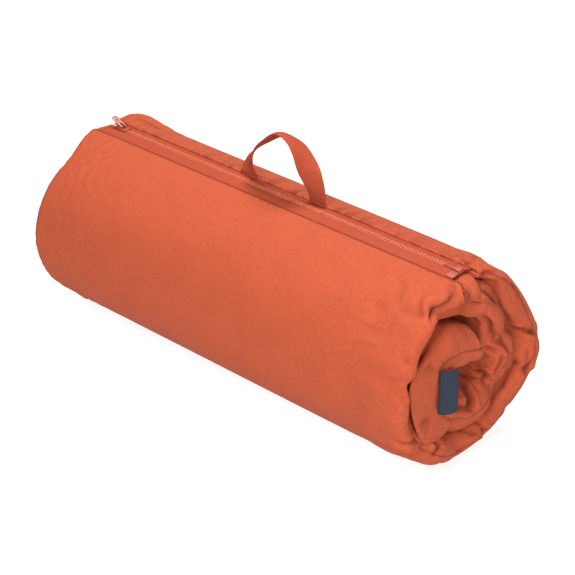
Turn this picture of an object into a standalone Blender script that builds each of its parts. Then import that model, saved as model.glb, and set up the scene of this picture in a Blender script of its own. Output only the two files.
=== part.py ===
"""Roll-up floor mattress, rolled and zipped shut, with a carry handle."""
import math

import bmesh
import bpy
from mathutils import Vector

for old in list(bpy.data.objects):
    bpy.data.objects.remove(old, do_unlink=True)

# Driving sizes, in metres. X runs along the roll, +Y is its back, Z is up.
GAP = 0.0003            # clearance between neighbouring pieces
ROLL_R = 0.123          # radius of the closed roll
SAG = 0.003             # how far the roll flattens where it lies on the floor
SLAB = 0.040            # thickness of the mattress, foam and cover together
NOSE = 0.011            # thickness of the free end where the zip is sewn in
FABRIC = 0.0012         # thickness of the cover's cloth
HEM = 0.0016            # cloth folded double along the zip
HALF_LENGTH = 0.306     # middle of the roll to the side seam
SIDE_ROUND = 0.018      # how far the padded side curves out
FOAM_SHORT = 0.004      # how far the foam stays inside the loose cover at each side
LAYER_GAP = 0.0005      # clearance between one turn and the next
LOOSE_GAP = 0.0070      # the open gap behind the free end
A_END = 740.0           # angle where the inner end of the mattress lies
CORE_SWELL = 0.006      # how much the foam swells inwards around the hollow core
A_STEP = 10.0           # angle between sections of the roll

AXIS_Z = ROLL_R - SAG
TOP = AXIS_Z + ROLL_R

# Zip: an open-ended chain lying flat on top of the roll
ZIP_Y = 0.0010          # chain's centre line
ZIP_DEPTH = 0.0022      # tape's middle below the roll's top, beside the chain
TAPE_FLAT = 0.0060      # half the width over which the tapes lie level
FRONT_SLOPE = 0.14      # how the tapes fall away from there, down to the folds
REAR_SLOPE = 0.26
TAPE_T = 0.0008
TAPE_X = HALF_LENGTH - 0.0215   # tape's end, either side
TAPE_FRONT_Y = -0.0225
TAPE_REAR_Y = 0.0225
FRONT_FOLD_Y = -0.0195  # edge of the cloth over the front tape
REAR_FOLD_Y = 0.0167    # edge of the cloth over the rear tape
CHAIN_HALF_W = 0.0037
CHAIN_HALF_T = 0.0018
TOOTH_PITCH = 0.0039
TOOTH_W = 0.0016
TOOTH_CROSS = 0.0009    # how far a tooth reaches past the centre line
BAR_IN = 0.0025         # inner edge of the bar the teeth stand on
BOX_LENGTH = 0.0085
BOX_HALF_W = 0.0045
BOX_X0 = TAPE_X - BOX_LENGTH - 0.0015
TEETH_X0 = 0.0155 - TAPE_X
TEETH_ROOM = BOX_X0 - 0.0130 - TEETH_X0
TEETH_COUNT = int(TEETH_ROOM / TOOTH_PITCH + 0.2)

SLIDER_X = TEETH_X0 + 0.0070
SLIDER_LENGTH = 0.0160
SLIDER_HALF_W = 0.0058
SLIDER_PLATE_T = 0.0013
BRIDGE_W = 0.0024
BRIDGE_HALF_L = 0.0047
BRIDGE_T = 0.0013

PULL_LENGTH = 0.0215
PULL_W = 0.0086
PULL_T = 0.0016
PULL_TILT = 23.0
PULL_WINDOW_L = 0.0052
PULL_WINDOW_W = 0.0048
PULL_HOLE_R = 0.0017

STRAP_W = 0.026
STRAP_T = 0.0012
STRAP_X = 0.0014        # middle of the handle along the roll
STRAP_FOOT_X = 0.0566
STRAP_HEIGHT = 0.0684
STRAP_Y = REAR_FOLD_Y - STRAP_T
STRAP_SEAM = 0.0060     # how far each foot reaches under the cloth
FOOT_T = 0.0009         # thickness of the foot there, pressed flat
STRAP_DROP = 0.0004     # the loop starts this far below the line it bends on

LABEL_W = 0.0195
LABEL_LENGTH = 0.057
LABEL_T = 0.0008

A_NOSE = math.degrees(math.asin(REAR_FOLD_Y / ROLL_R))
A_FRONT = 360.0 + math.degrees(math.asin(FRONT_FOLD_Y / ROLL_R))
A_FLAP = 360.0 + A_NOSE
LEDGE_Y = REAR_FOLD_Y - 0.0060     # behind this the cloth under the zip falls away


def smooth(t):
    t = max(0.0, min(1.0, t))
    return t * t * (3.0 - 2.0 * t)


def bump(value, centre, width):
    return math.exp(-((value - centre) / width) ** 2)


def interpolate(table, value):
    for (a0, b0), (a1, b1) in zip(table, table[1:]):
        if value <= a1:
            t = max(0.0, (value - a0) / (a1 - a0))
            return b0 + (b1 - b0) * t
    return table[-1][1]


# Shape of the roll's section: radius of each face of the slab at an angle that
# starts at the top, runs over the back, under the bottom and up the front
FLAP_DROP = NOSE + LAYER_GAP


def nose_thickness(angle):
    return NOSE + (SLAB - NOSE) * smooth((angle - A_NOSE) / 62.0)


def flap_share(angle):
    return smooth((angle - 322.0) / (A_FLAP - 322.0))


def tape_drop(y):
    away = y - ZIP_Y
    slope = FRONT_SLOPE if away < 0 else REAR_SLOPE
    return slope * max(0.0, abs(away) - TAPE_FLAT)


def under_zip(angle):
    y = ROLL_R * math.sin(math.radians(angle))
    tape_low = ZIP_DEPTH + TAPE_T / 2 + GAP + tape_drop(TAPE_FRONT_Y)
    chain_low = max(ZIP_DEPTH + 0.0046, tape_low)
    flap_low = ROLL_R - (ROLL_R - FLAP_DROP - GAP) * math.cos(math.radians(A_NOSE))
    depth = interpolate([(-0.030, tape_low), (-0.0165, tape_low), (-0.0105, chain_low),
                         (LEDGE_Y, chain_low), (REAR_FOLD_Y, flap_low)], y)
    return (ROLL_R - depth) / math.cos(math.radians(angle))


def loose_gap(angle):
    return LAYER_GAP + LOOSE_GAP * bump(angle, 70.0, 34.0)


def outer_radius(angle):
    if angle <= A_FRONT:
        return ROLL_R
    if angle < A_FLAP:
        return under_zip(angle)
    return inner_radius(angle - 360.0) - loose_gap(angle - 360.0)


def inner_radius(angle):
    if angle < 200.0:
        return ROLL_R - nose_thickness(angle)
    if angle < A_FLAP:
        return ROLL_R - SLAB - FLAP_DROP * flap_share(angle)
    swell = CORE_SWELL * smooth((angle - 455.0) / 40.0) * smooth((705.0 - angle) / 40.0)
    return max(outer_radius(angle) - SLAB - swell, 0.007)


def seam_radius(angle):
    if angle < 200.0:
        return 0.5 * (ROLL_R + inner_radius(angle))
    if angle < A_FLAP:
        return ROLL_R - SLAB / 2 - FLAP_DROP * flap_share(angle)
    return 0.5 * (outer_radius(angle) + inner_radius(angle))


# Where the side seam lies along X, as angle, width and size of each fold; the
# near end is the one at +X
NEAR_HEM = [(48.0, 20.0, 0.006), (92.0, 34.0, 0.014), (122.0, 8.0, -0.007), (150.0, 14.0, 0.005),
            (172.0, 8.0, -0.006), (205.0, 12.0, 0.004), (232.0, 7.0, -0.007), (258.0, 10.0, -0.002),
            (284.0, 6.0, -0.009), (304.0, 9.0, -0.003), (330.0, 9.0, -0.008), (395.0, 16.0, 0.004),
            (450.0, 20.0, 0.008), (492.0, 9.0, -0.006), (520.0, 14.0, 0.004), (560.0, 9.0, -0.006),
            (630.0, 60.0, -0.002), (700.0, 25.0, 0.003), (735.0, 14.0, 0.004)]
FAR_HEM = [(8.0, 16.0, -0.013), (60.0, 9.0, -0.007), (100.0, 14.0, 0.002), (140.0, 9.0, -0.005),
           (190.0, 16.0, 0.006), (250.0, 34.0, 0.0140), (300.0, 9.0, -0.004), (330.0, 9.0, 0.002),
           (400.0, 20.0, 0.004), (470.0, 10.0, -0.006), (540.0, 22.0, 0.004), (610.0, 10.0, -0.005),
           (700.0, 25.0, 0.005)]


def hem_x(angle, end):
    table = NEAR_HEM if end > 0 else FAR_HEM
    return HALF_LENGTH + sum(size * bump(angle, centre, width) for centre, width, size in table)


def far_hump(angle, x):
    return 0.0065 * bump(angle, 26.0, 13.0) * bump(x, -0.272, 0.030)


# The inner end leaves the spiral and lies straight across the hollow middle: angle, then
# the places of its outer face, side seam and inner face, as shares of the hollow
HOLLOW = ROLL_R - 2 * SLAB
TONGUE_START = 660.0
TONGUE = [(682.0, (-0.942, 1.605), (-0.930, 0.860), (-0.620, 0.262)),
          (702.0, (-0.465, 1.535), (-0.465, 0.837), (-0.233, 0.200)),
          (724.0, (0.000, 1.349), (0.000, 0.698), (0.186, 0.150)),
          (A_END, (0.140, 1.209), (0.340, 0.620), (0.570, 0.093))]


def polar(angle, radius):
    rad = math.radians(angle)
    return Vector((0.0, radius * math.sin(rad), radius * math.cos(rad)))


def section(angle):
    """Where the outer face, the side seam and the inner face lie, seen from the roll's axis."""
    if angle <= TONGUE_START:
        return [polar(angle, r(angle)) for r in (outer_radius, seam_radius, inner_radius)]
    stops = [(TONGUE_START, section(TONGUE_START))]
    for stop, *places in TONGUE:
        stops.append((stop, [Vector((0.0, y, z)) * HOLLOW for y, z in places]))
    for (a0, low), (a1, high) in zip(stops, stops[1:]):
        if angle <= a1:
            return [p.lerp(q, (angle - a0) / (a1 - a0)) for p, q in zip(low, high)]
    return stops[-1][1]


def place(spot, x, floor):
    return Vector((x, spot.y, max(AXIS_Z + spot.z, floor)))


def section_angles(start, end):
    fixed = [A_NOSE, A_NOSE + 2.6, A_NOSE + 3.4, A_FRONT - 2.6, A_FRONT - 2.3, A_FRONT, A_FRONT + 0.3]
    for y in (-0.0165, -0.0105, 0.0, LEDGE_Y):
        fixed.append(360.0 + math.degrees(math.asin(y / ROLL_R)))
    fixed += [A_FLAP, A_FLAP + 3.4, A_FLAP + 360.0]
    angles = {round(start, 4), round(end, 4)}
    turn = 0.0
    while turn < end:
        if start < turn and not any(abs(turn - s) < 3.0 for s in fixed + [start, end]):
            angles.add(round(turn, 4))
        turn += A_STEP
    for s in fixed:
        if start < s < end:
            angles.add(round(s, 4))
    return sorted(angles)


def half_profile(angle, face, inset, seam_gap, steps, across, floor=0.0, humped=False, short=0.0):
    """Points from the left side seam, over one face of the slab, to the right side seam."""
    outer, seam, inner = section(angle)
    inward = (inner - outer).normalized()
    spot = outer + inward * inset if face > 0 else inner - inward * inset
    seam = seam - inward * face * seam_gap
    found = []
    for end in (-1, 1):
        hem = hem_x(angle, end) - short
        side = []
        for k in range(steps):
            turn = 0.5 * math.pi * k / (steps - 1)
            x = end * (hem - SIDE_ROUND + (SIDE_ROUND - inset) * math.cos(turn))
            lift = far_hump(angle, x) * math.sin(turn) if humped else 0.0
            side.append(place(seam.lerp(spot, math.sin(turn)) - inward * lift, x, floor))
        if end < 0:
            found += side
            for x in across:
                lift = far_hump(angle, x) if humped else 0.0
                found.append(place(spot - inward * lift, x, floor))
        else:
            found += side[::-1]
    return found


def link(name, bm, color, roughness, metallic=0.0, smoothed=False):
    bmesh.ops.recalc_face_normals(bm, faces=bm.faces)
    mesh = bpy.data.meshes.new(name)
    bm.to_mesh(mesh)
    bm.free()
    for face in mesh.polygons:
        face.use_smooth = smoothed
    material = bpy.data.materials.new(name)
    material.use_nodes = True
    shader = material.node_tree.nodes["Principled BSDF"]
    shader.inputs["Base Color"].default_value = (*color, 1.0)
    shader.inputs["Roughness"].default_value = roughness
    shader.inputs["Metallic"].default_value = metallic
    mesh.materials.append(material)
    body = bpy.data.objects.new(name, mesh)
    bpy.context.collection.objects.link(body)
    return body


def sheet_solid(rows_out, rows_in):
    """A closed sheet from two matching grids of points, its two faces."""
    bm = bmesh.new()
    out = [[bm.verts.new(p) for p in row] for row in rows_out]
    low = [[bm.verts.new(p) for p in row] for row in rows_in]
    last_row = len(out) - 1
    last = len(out[0]) - 1
    for i in range(last_row):
        for j in range(last):
            bm.faces.new([out[i][j], out[i][j + 1], out[i + 1][j + 1], out[i + 1][j]])
            bm.faces.new([low[i][j], low[i + 1][j], low[i + 1][j + 1], low[i][j + 1]])
        for j in (0, last):
            bm.faces.new([out[i][j], out[i + 1][j], low[i + 1][j], low[i][j]])
    for i in (0, last_row):
        for j in range(last):
            bm.faces.new([out[i][j], low[i][j], low[i][j + 1], out[i][j + 1]])
    return bm


def box(low, high):
    bm = bmesh.new()
    corners = [bm.verts.new((x, y, z)) for x in (low[0], high[0]) for y in (low[1], high[1])
               for z in (low[2], high[2])]
    for face in ((0, 1, 3, 2), (4, 6, 7, 5), (0, 4, 5, 1), (2, 3, 7, 6), (0, 2, 6, 4), (1, 5, 7, 3)):
        bm.faces.new([corners[k] for k in face])
    return bm


def prism(outline, axis, low, high):
    """Extrude a flat outline along an axis; the outline gives the other two coordinates."""
    bm = bmesh.new()

    def at(u, v, w):
        return {"X": (w, u, v), "Y": (u, w, v), "Z": (u, v, w)}[axis]

    bottom = [bm.verts.new(at(u, v, low)) for u, v in outline]
    top = [bm.verts.new(at(u, v, high)) for u, v in outline]
    bm.faces.new(bottom)
    bm.faces.new(top[::-1])
    count = len(outline)
    for k in range(count):
        n = (k + 1) % count
        bm.faces.new([bottom[k], top[k], top[n], bottom[n]])
    return bm


def cut(body, cutter, operation="DIFFERENCE"):
    cutter.hide_render = True
    cutter.display_type = "WIRE"
    step = body.modifiers.new(operation.lower(), "BOOLEAN")
    step.operation = operation
    step.solver = "EXACT"
    step.object = cutter


def deep(depth):
    return TOP - depth


CLOTH = (0.60, 0.125, 0.048)
FOAM = (0.86, 0.84, 0.78)
TAPE = (0.50, 0.085, 0.032)
TEETH = (0.46, 0.085, 0.040)
METAL = (0.62, 0.20, 0.13)
NAVY = (0.012, 0.024, 0.055)

# Foam slab, wound into the roll
foam_inset = FABRIC + GAP
foam = bmesh.new()
ring_out = []
ring_in = []
for angle in section_angles(A_NOSE + 4.0, A_END - 3.0):
    inset = foam_inset
    if A_FRONT - 2.45 < angle <= A_FRONT:
        inset = foam_inset + ROLL_R - under_zip(angle)
    upper_points = half_profile(angle, 1, inset, 0.0, 3, [], foam_inset, False, FOAM_SHORT)
    upper = [foam.verts.new(p) for p in upper_points]
    lower_points = half_profile(angle, -1, foam_inset, 0.0, 3, [], 0.0, False, FOAM_SHORT)
    lower = [upper[0]] + [foam.verts.new(p) for p in lower_points[1:-1]] + [upper[-1]]
    ring_out.append(upper)
    ring_in.append(lower)
width = len(ring_out[0]) - 1
for i in range(len(ring_out) - 1):
    for j in range(width):
        foam.faces.new([ring_out[i][j], ring_out[i][j + 1], ring_out[i + 1][j + 1], ring_out[i + 1][j]])
        foam.faces.new([ring_in[i][j], ring_in[i + 1][j], ring_in[i + 1][j + 1], ring_in[i][j + 1]])
for upper, lower in ((ring_out[0], ring_in[0]), (ring_out[-1], ring_in[-1])):
    for j in range(width):
        corners = [upper[j], lower[j], lower[j + 1], upper[j + 1]]
        foam.faces.new([v for k, v in enumerate(corners) if v not in corners[:k]])
link("foam_core", foam, FOAM, 0.9, smoothed=True)

# Outer cloth of the last turn, from the free end round to the fold at the zip
ACROSS = [-0.24, -0.15, 0.15]
rows = []
rows_back = []
for angle in section_angles(A_NOSE, A_FRONT):
    thick = HEM if angle < A_NOSE + 2.7 or angle > A_FRONT - 2.4 else FABRIC
    rows.append(half_profile(angle, 1, 0.0, GAP / 2, 4, ACROSS, 0.0, True))
    rows_back.append(half_profile(angle, 1, thick, GAP / 2, 4, ACROSS, FABRIC, True))
link("outer_panel", sheet_solid(rows, rows_back), CLOTH, 0.85, smoothed=True)

# Outer cloth of the inner turns, which runs on from the zip under the free end
rows = []
rows_back = []
for angle in section_angles(A_FRONT + 0.3, A_END - 0.6):
    rows.append(half_profile(angle, 1, 0.0, GAP / 2, 3, []))
    rows_back.append(half_profile(angle, 1, FABRIC, GAP / 2, 3, []))
link("inner_panel", sheet_solid(rows, rows_back), CLOTH, 0.85, smoothed=True)


# Cloth on the slab's inner face, turned up over both of its ends
def along(angle, distance):
    outer, seam, inner = section(angle)
    inward = (inner - outer).normalized()
    return Vector((0.0, -inward.z, inward.y)) * distance


edge_depth = ZIP_DEPTH + TAPE_T / 2 + GAP + tape_drop(REAR_FOLD_Y + 0.002)
edge = half_profile(A_NOSE, 1, edge_depth, -GAP / 2, 3, [])
rows = [edge, half_profile(A_NOSE, -1, 0.0, GAP / 2, 3, [])]
rows_back = [[p + along(A_NOSE, FABRIC) for p in edge],
             [p + along(A_NOSE, FABRIC) for p in half_profile(A_NOSE, -1, FABRIC, GAP / 2, 3, [])]]
for angle in section_angles(A_NOSE + 2.6, A_END)[:-1]:
    rows.append(half_profile(angle, -1, 0.0, GAP / 2, 3, []))
    rows_back.append(half_profile(angle, -1, FABRIC, GAP / 2, 3, []))
rows.append([p + along(A_END, FABRIC) for p in half_profile(A_END, -1, 0.0, 3 * GAP, 3, [])])
rows_back.append(half_profile(A_END, -1, FABRIC, 3 * GAP, 3, []))
last_edge = half_profile(A_END, 1, FABRIC + GAP, -3 * GAP, 3, [])
rows.append([p + along(A_END, FABRIC) for p in last_edge])
rows_back.append(last_edge)
link("back_panel", sheet_solid(rows, rows_back), CLOTH, 0.85, smoothed=True)

# Zip tapes, one under each folded edge
tape_low = deep(ZIP_DEPTH + TAPE_T / 2)
tape_high = deep(ZIP_DEPTH - TAPE_T / 2)
tape_edge = CHAIN_HALF_W + GAP
for name, side, edge_y in (("zip_tape_front", -1, TAPE_FRONT_Y), ("zip_tape_rear", 1, TAPE_REAR_Y)):
    across = [ZIP_Y + side * tape_edge, ZIP_Y + side * TAPE_FLAT, edge_y]
    outline = [(y, tape_high - tape_drop(y)) for y in across]
    outline += [(y, tape_low - tape_drop(y)) for y in across[::-1]]
    link(name, prism(outline, "X", -TAPE_X, TAPE_X), TAPE, 0.8)

# Two rows of teeth, half a pitch apart so that they mesh
chain_low = deep(ZIP_DEPTH + CHAIN_HALF_T)
chain_high = deep(ZIP_DEPTH - CHAIN_HALF_T)
for name, side, shift in (("teeth_front", -1, 0.0), ("teeth_rear", 1, TOOTH_PITCH / 2)):
    outline = [(TEETH_X0, ZIP_Y + side * CHAIN_HALF_W)]
    for k in range(TEETH_COUNT):
        x = TEETH_X0 + shift + k * TOOTH_PITCH
        if k or shift:
            outline.append((x, ZIP_Y + side * BAR_IN))
        outline.append((x, ZIP_Y - side * TOOTH_CROSS))
        outline.append((x + TOOTH_W, ZIP_Y - side * TOOTH_CROSS))
        outline.append((x + TOOTH_W, ZIP_Y + side * BAR_IN))
    if shift:
        outline.insert(1, (TEETH_X0, ZIP_Y + side * BAR_IN))
    end_x = TEETH_X0 + TEETH_COUNT * TOOTH_PITCH
    outline.append((end_x, ZIP_Y + side * BAR_IN))
    outline.append((end_x, ZIP_Y + side * CHAIN_HALF_W))
    link(name, prism(outline, "Z", chain_low, chain_high), TEETH, 0.3)
    stop_low, stop_high = sorted((ZIP_Y + side * 0.0008, ZIP_Y + side * CHAIN_HALF_W))
    link(name.replace("teeth", "top_stop"),
         box((TEETH_X0 - 0.0045, stop_low, chain_low), (TEETH_X0 - 0.0015, stop_high, chain_high)),
         TEETH, 0.3)

# Box at the zip's near end, the pin that pulls out of it and the pin fixed in it
teeth_end = TEETH_X0 + TEETH_COUNT * TOOTH_PITCH
box_x1 = BOX_X0 + BOX_LENGTH
box_low = deep(ZIP_DEPTH + 0.0026)
box_high = deep(ZIP_DEPTH - 0.0026)
retainer = link("retainer_box", box((BOX_X0, ZIP_Y - BOX_HALF_W, box_low),
                                    (box_x1, ZIP_Y + BOX_HALF_W, box_high)), METAL, 0.25)
pin_half_t = 0.0013
for name, side in (("insertion_pin", -1), ("retainer_pin", 1)):
    near, far = sorted((ZIP_Y + side * 0.0005, ZIP_Y + side * 0.0025))
    link(name, box((teeth_end + GAP, near, deep(ZIP_DEPTH + pin_half_t)),
                   (box_x1 - 0.0015, far, deep(ZIP_DEPTH - pin_half_t))), METAL, 0.3)
    hole = link("cutter_" + name, box((BOX_X0 - 0.001, near - GAP, deep(ZIP_DEPTH + pin_half_t + GAP)),
                                      (box_x1 - 0.0012, far + GAP, deep(ZIP_DEPTH - pin_half_t - GAP))),
                METAL, 0.3)
    cut(retainer, hole)
link("cutter_slot", box((BOX_X0 - 0.001, ZIP_Y - BOX_HALF_W - 0.001, tape_low - GAP),
                        (box_x1 + 0.001, ZIP_Y - tape_edge + GAP, tape_high + GAP)), METAL, 0.3)
cut(retainer, bpy.data.objects["cutter_slot"])
link("cutter_slot_rear", box((BOX_X0 - 0.001, ZIP_Y + tape_edge - GAP, tape_low - GAP),
                             (box_x1 + 0.001, ZIP_Y + BOX_HALF_W + 0.001, tape_high + GAP)), METAL, 0.3)
cut(retainer, bpy.data.objects["cutter_slot_rear"])

# Stiff film on the tapes beside the box
film_low = tape_high + GAP
for name, side, reach in (("end_film_front", -1, 0.0175), ("end_film_rear", 1, 0.0100)):
    near, far = sorted((ZIP_Y + side * TAPE_FLAT, ZIP_Y + side * reach))
    outline = []
    for k in range(5):
        x = BOX_X0 + 0.0006 + k * 0.0019
        outline += [(x, film_low + 0.0004), (x + 0.0004, film_low + 0.0008), (x + 0.0008, film_low + 0.0008),
                    (x + 0.0012, film_low + 0.0004)]
    outline = [(BOX_X0, film_low), (BOX_X0, film_low + 0.0004)] + outline
    outline += [(TAPE_X - 0.0003, film_low + 0.0004), (TAPE_X - 0.0003, film_low)]
    film = link(name, prism(outline, "Y", near, far), METAL, 0.3)
    for corner in film.data.vertices:
        corner.co.z -= tape_drop(corner.co.y)

# Slider: a plate over the chain with turned-down sides, a bridge for the pull, and a
# plate under the tapes
plate_low = chain_high + GAP
plate_high = plate_low + SLIDER_PLATE_T
x0 = SLIDER_X - SLIDER_LENGTH / 2
x1 = SLIDER_X + SLIDER_LENGTH / 2
flange_in = tape_edge + 0.0002
plate = [(-SLIDER_HALF_W, tape_high + GAP), (-SLIDER_HALF_W, plate_high - 0.0005),
         (-SLIDER_HALF_W + 0.0008, plate_high), (SLIDER_HALF_W - 0.0008, plate_high),
         (SLIDER_HALF_W, plate_high - 0.0005), (SLIDER_HALF_W, tape_high + GAP),
         (flange_in, tape_high + GAP), (flange_in, plate_low), (-flange_in, plate_low),
         (-flange_in, tape_high + GAP)]
slider = link("slider_body", prism([(ZIP_Y + y, z) for y, z in plate], "X", x0, x1), METAL, 0.3)
under_high = chain_low - GAP
under = [(-SLIDER_HALF_W, tape_low - GAP), (-SLIDER_HALF_W, under_high - SLIDER_PLATE_T),
         (SLIDER_HALF_W, under_high - SLIDER_PLATE_T), (SLIDER_HALF_W, tape_low - GAP),
         (flange_in, tape_low - GAP), (flange_in, under_high), (-flange_in, under_high),
         (-flange_in, tape_low - GAP)]
link("slider_underplate", prism([(ZIP_Y + y, z) for y, z in under], "X", x0, x1), METAL, 0.3)
pivot_z = plate_high + 0.00135
bridge_top = pivot_z + 0.0015 + BRIDGE_T
inner = BRIDGE_HALF_L - BRIDGE_T
arch = [(-BRIDGE_HALF_L, plate_high - 0.0004), (-BRIDGE_HALF_L, bridge_top - 0.0010),
        (-BRIDGE_HALF_L + 0.0010, bridge_top), (BRIDGE_HALF_L - 0.0010, bridge_top),
        (BRIDGE_HALF_L, bridge_top - 0.0010), (BRIDGE_HALF_L, plate_high - 0.0004),
        (inner, plate_high - 0.0004), (inner, bridge_top - BRIDGE_T), (-inner, bridge_top - BRIDGE_T),
        (-inner, plate_high - 0.0004)]
bridge = link("cutter_bridge", prism([(SLIDER_X + x, z) for x, z in arch], "Y",
                                     ZIP_Y - BRIDGE_W / 2, ZIP_Y + BRIDGE_W / 2), METAL, 0.3)
cut(slider, bridge, "UNION")

# Pull: a flat tab hung on the bridge by the bar beside its window
pull_outline = []
for k in range(7):
    turn = math.radians(-90.0 + 30.0 * k)
    pull_outline.append((-PULL_LENGTH + 0.0008 + PULL_W * 0.42 - PULL_W * 0.42 * math.cos(turn),
                         PULL_W / 2 * math.sin(turn)))
pull_outline += [(-0.0004, PULL_W / 2), (0.0008, PULL_W / 2 - 0.0012), (0.0008, -PULL_W / 2 + 0.0012),
                 (-0.0004, -PULL_W / 2)]
pull = link("pull_tab", prism(pull_outline, "Z", -PULL_T / 2, PULL_T / 2), METAL, 0.22, 0.4)
window = link("cutter_window", box((-0.0008 - PULL_WINDOW_L, -PULL_WINDOW_W / 2, -PULL_T),
                                   (-0.0008, PULL_WINDOW_W / 2, PULL_T)), METAL, 0.3)
ring = [(-PULL_LENGTH + 0.0046 + PULL_HOLE_R * math.cos(math.radians(30.0 * k)),
         PULL_HOLE_R * math.sin(math.radians(30.0 * k))) for k in range(12)]
eye = link("cutter_eye", prism(ring, "Z", -PULL_T, PULL_T), METAL, 0.3)
for piece in (pull, window, eye):
    piece.location = (SLIDER_X, ZIP_Y, pivot_z)
    piece.rotation_euler = (0.0, math.radians(PULL_TILT), 0.0)
cut(pull, window)
cut(pull, eye)

# Carry handle: a strap whose ends are sewn in under the rear folded edge
def foot_z(y, rise):
    return tape_high + GAP - tape_drop(y) + rise


for name, side in (("handle_foot_left", -1), ("handle_foot_right", 1)):
    x = STRAP_X + side * STRAP_FOOT_X
    half = STRAP_T / 2
    foot_end = STRAP_Y - half + STRAP_SEAM
    front = STRAP_Y - half
    back = STRAP_Y + half
    outline = [(front, foot_z(front, 0.0)), (foot_end, foot_z(foot_end, 0.0)),
               (foot_end, foot_z(foot_end, FOOT_T)), (back, foot_z(back, FOOT_T)),
               (back, TOP - 0.0003), (front, TOP - 0.0003)]
    link(name, prism(outline, "X", x - STRAP_W / 2, x + STRAP_W / 2), CLOTH, 0.85)

# The loop from foot to foot: each bend's place along the roll as a share of STRAP_FOOT_X, its
# height as a share of STRAP_HEIGHT, its lean to the back and its curl across the strap as
# shares of STRAP_W, and the strap's twist in degrees
handle_z = TOP + 0.0001 + STRAP_T / 2
bends = [(-1.00, 0.00, 0.00, 0.00, 90.0), (-0.98, 0.18, 0.10, 0.04, 64.0), (-0.88, 0.345, 0.14, 0.08, 37.0),
         (-0.76, 0.505, 0.11, 0.13, 12.0), (-0.60, 0.65, 0.06, 0.15, -2.0), (-0.40, 0.79, 0.03, 0.15, -8.0),
         (-0.20, 0.92, 0.00, 0.15, -16.0), (0.02, 1.00, -0.02, 0.13, -23.0), (0.29, 0.97, -0.04, 0.11, -15.0),
         (0.51, 0.845, -0.06, 0.08, 3.0), (0.69, 0.65, -0.08, 0.06, 19.0), (0.85, 0.445, -0.08, 0.04, 64.0),
         (0.97, 0.225, -0.06, 0.02, 81.0), (1.00, 0.00, 0.00, 0.00, 90.0)]
path = [(STRAP_X + x * STRAP_FOOT_X, STRAP_Y + y * STRAP_W, z * (STRAP_HEIGHT + STRAP_DROP) - STRAP_DROP)
        for x, z, y, curl, turn in bends]


def strap_at(share):
    """Point, direction, curl and twist of the strap at a share of its length."""
    place_on = share * (len(path) - 1)
    k = min(int(place_on), len(path) - 2)
    t = place_on - k
    points = [path[max(k - 1, 0)], path[k], path[k + 1], path[min(k + 2, len(path) - 1)]]
    value = []
    slope = []
    for a, b, c, d in zip(*points):
        m0 = 0.5 * (c - a)
        m1 = 0.5 * (d - b)
        value.append((2 * t**3 - 3 * t**2 + 1) * b + (t**3 - 2 * t**2 + t) * m0
                     + (3 * t**2 - 2 * t**3) * c + (t**3 - t**2) * m1)
        slope.append((6 * t**2 - 6 * t) * b + (3 * t**2 - 4 * t + 1) * m0
                     + (6 * t - 6 * t**2) * c + (3 * t**2 - 2 * t) * m1)
    curl, turn = (bends[k][j] + (bends[k + 1][j] - bends[k][j]) * smooth(t) for j in (3, 4))
    return value, slope, curl * STRAP_W, turn


STRAP_STEPS = 39
ACROSS_STRAP = [-1.0, -0.5, 0.0, 0.5, 1.0]
handle = bmesh.new()
rings = []
for k in range(STRAP_STEPS + 1):
    value, slope, curl, turn = strap_at(k / STRAP_STEPS)
    centre = Vector((value[0], value[1], handle_z + value[2]))
    run = Vector((slope[0], 0.0, slope[2])).normalized()
    if k in (0, STRAP_STEPS):
        run = Vector((0.0, 0.0, 1.0 if k == 0 else -1.0))
    side = Vector((0.0, 1.0, 0.0))
    lean = run.cross(side)
    wide = side * math.cos(math.radians(turn)) + lean * math.sin(math.radians(turn))
    face = run.cross(wide)
    low, high = ([centre + wide * (u * STRAP_W / 2) + face * (v * STRAP_T / 2 + curl * (1.0 - u * u))
                  for u in ACROSS_STRAP] for v in (-1, 1))
    rings.append([handle.verts.new(p) for p in low + high[::-1]])
for a, b in zip(rings, rings[1:]):
    for j in range(len(a)):
        n = (j + 1) % len(a)
        handle.faces.new([a[j], a[n], b[n], b[j]])
for end_ring in (rings[0], rings[-1]):
    for j in range(len(ACROSS_STRAP) - 1):
        handle.faces.new([end_ring[k] for k in (j, j + 1, -j - 2, -j - 1)])
link("carry_handle", handle, CLOTH, 0.85, smoothed=True)

# Blank woven label, sewn by one long edge into the side seam at the near end
LABEL_ANGLE = 630.0
seam_y = -seam_radius(LABEL_ANGLE)
seam_x = max(hem_x(LABEL_ANGLE + d, 1) for d in (-30.0, -20.0, -10.0, 0.0, 10.0, 20.0, 30.0)) + GAP
shares = [(0.0, 0.0), (0.231, 0.133), (0.426, 0.369), (0.554, 0.656), (0.644, 0.95)]
lean = [(out * LABEL_W, back * LABEL_W) for out, back in shares]
label = bmesh.new()
face_a = []
face_b = []
for dx, dy in lean:
    face_a.append([label.verts.new((seam_x + dx, seam_y + dy, AXIS_Z + z))
                   for z in (-LABEL_LENGTH / 2, LABEL_LENGTH / 2)])
    face_b.append([label.verts.new((seam_x + dx + LABEL_T * 0.8, seam_y + dy - LABEL_T * 0.6, AXIS_Z + z))
                   for z in (-LABEL_LENGTH / 2, LABEL_LENGTH / 2)])
for i in range(len(lean) - 1):
    label.faces.new([face_a[i][0], face_a[i][1], face_a[i + 1][1], face_a[i + 1][0]])
    label.faces.new([face_b[i][0], face_b[i + 1][0], face_b[i + 1][1], face_b[i][1]])
    for j in (0, 1):
        label.faces.new([face_a[i][j], face_a[i + 1][j], face_b[i + 1][j], face_b[i][j]])
for i in (0, len(lean) - 1):
    label.faces.new([face_a[i][0], face_b[i][0], face_b[i][1], face_a[i][1]])
link("side_label", label, NAVY, 0.7)
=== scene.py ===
import math

import bmesh
import bpy
import numpy as np
from mathutils import Matrix, Vector, noise


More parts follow.
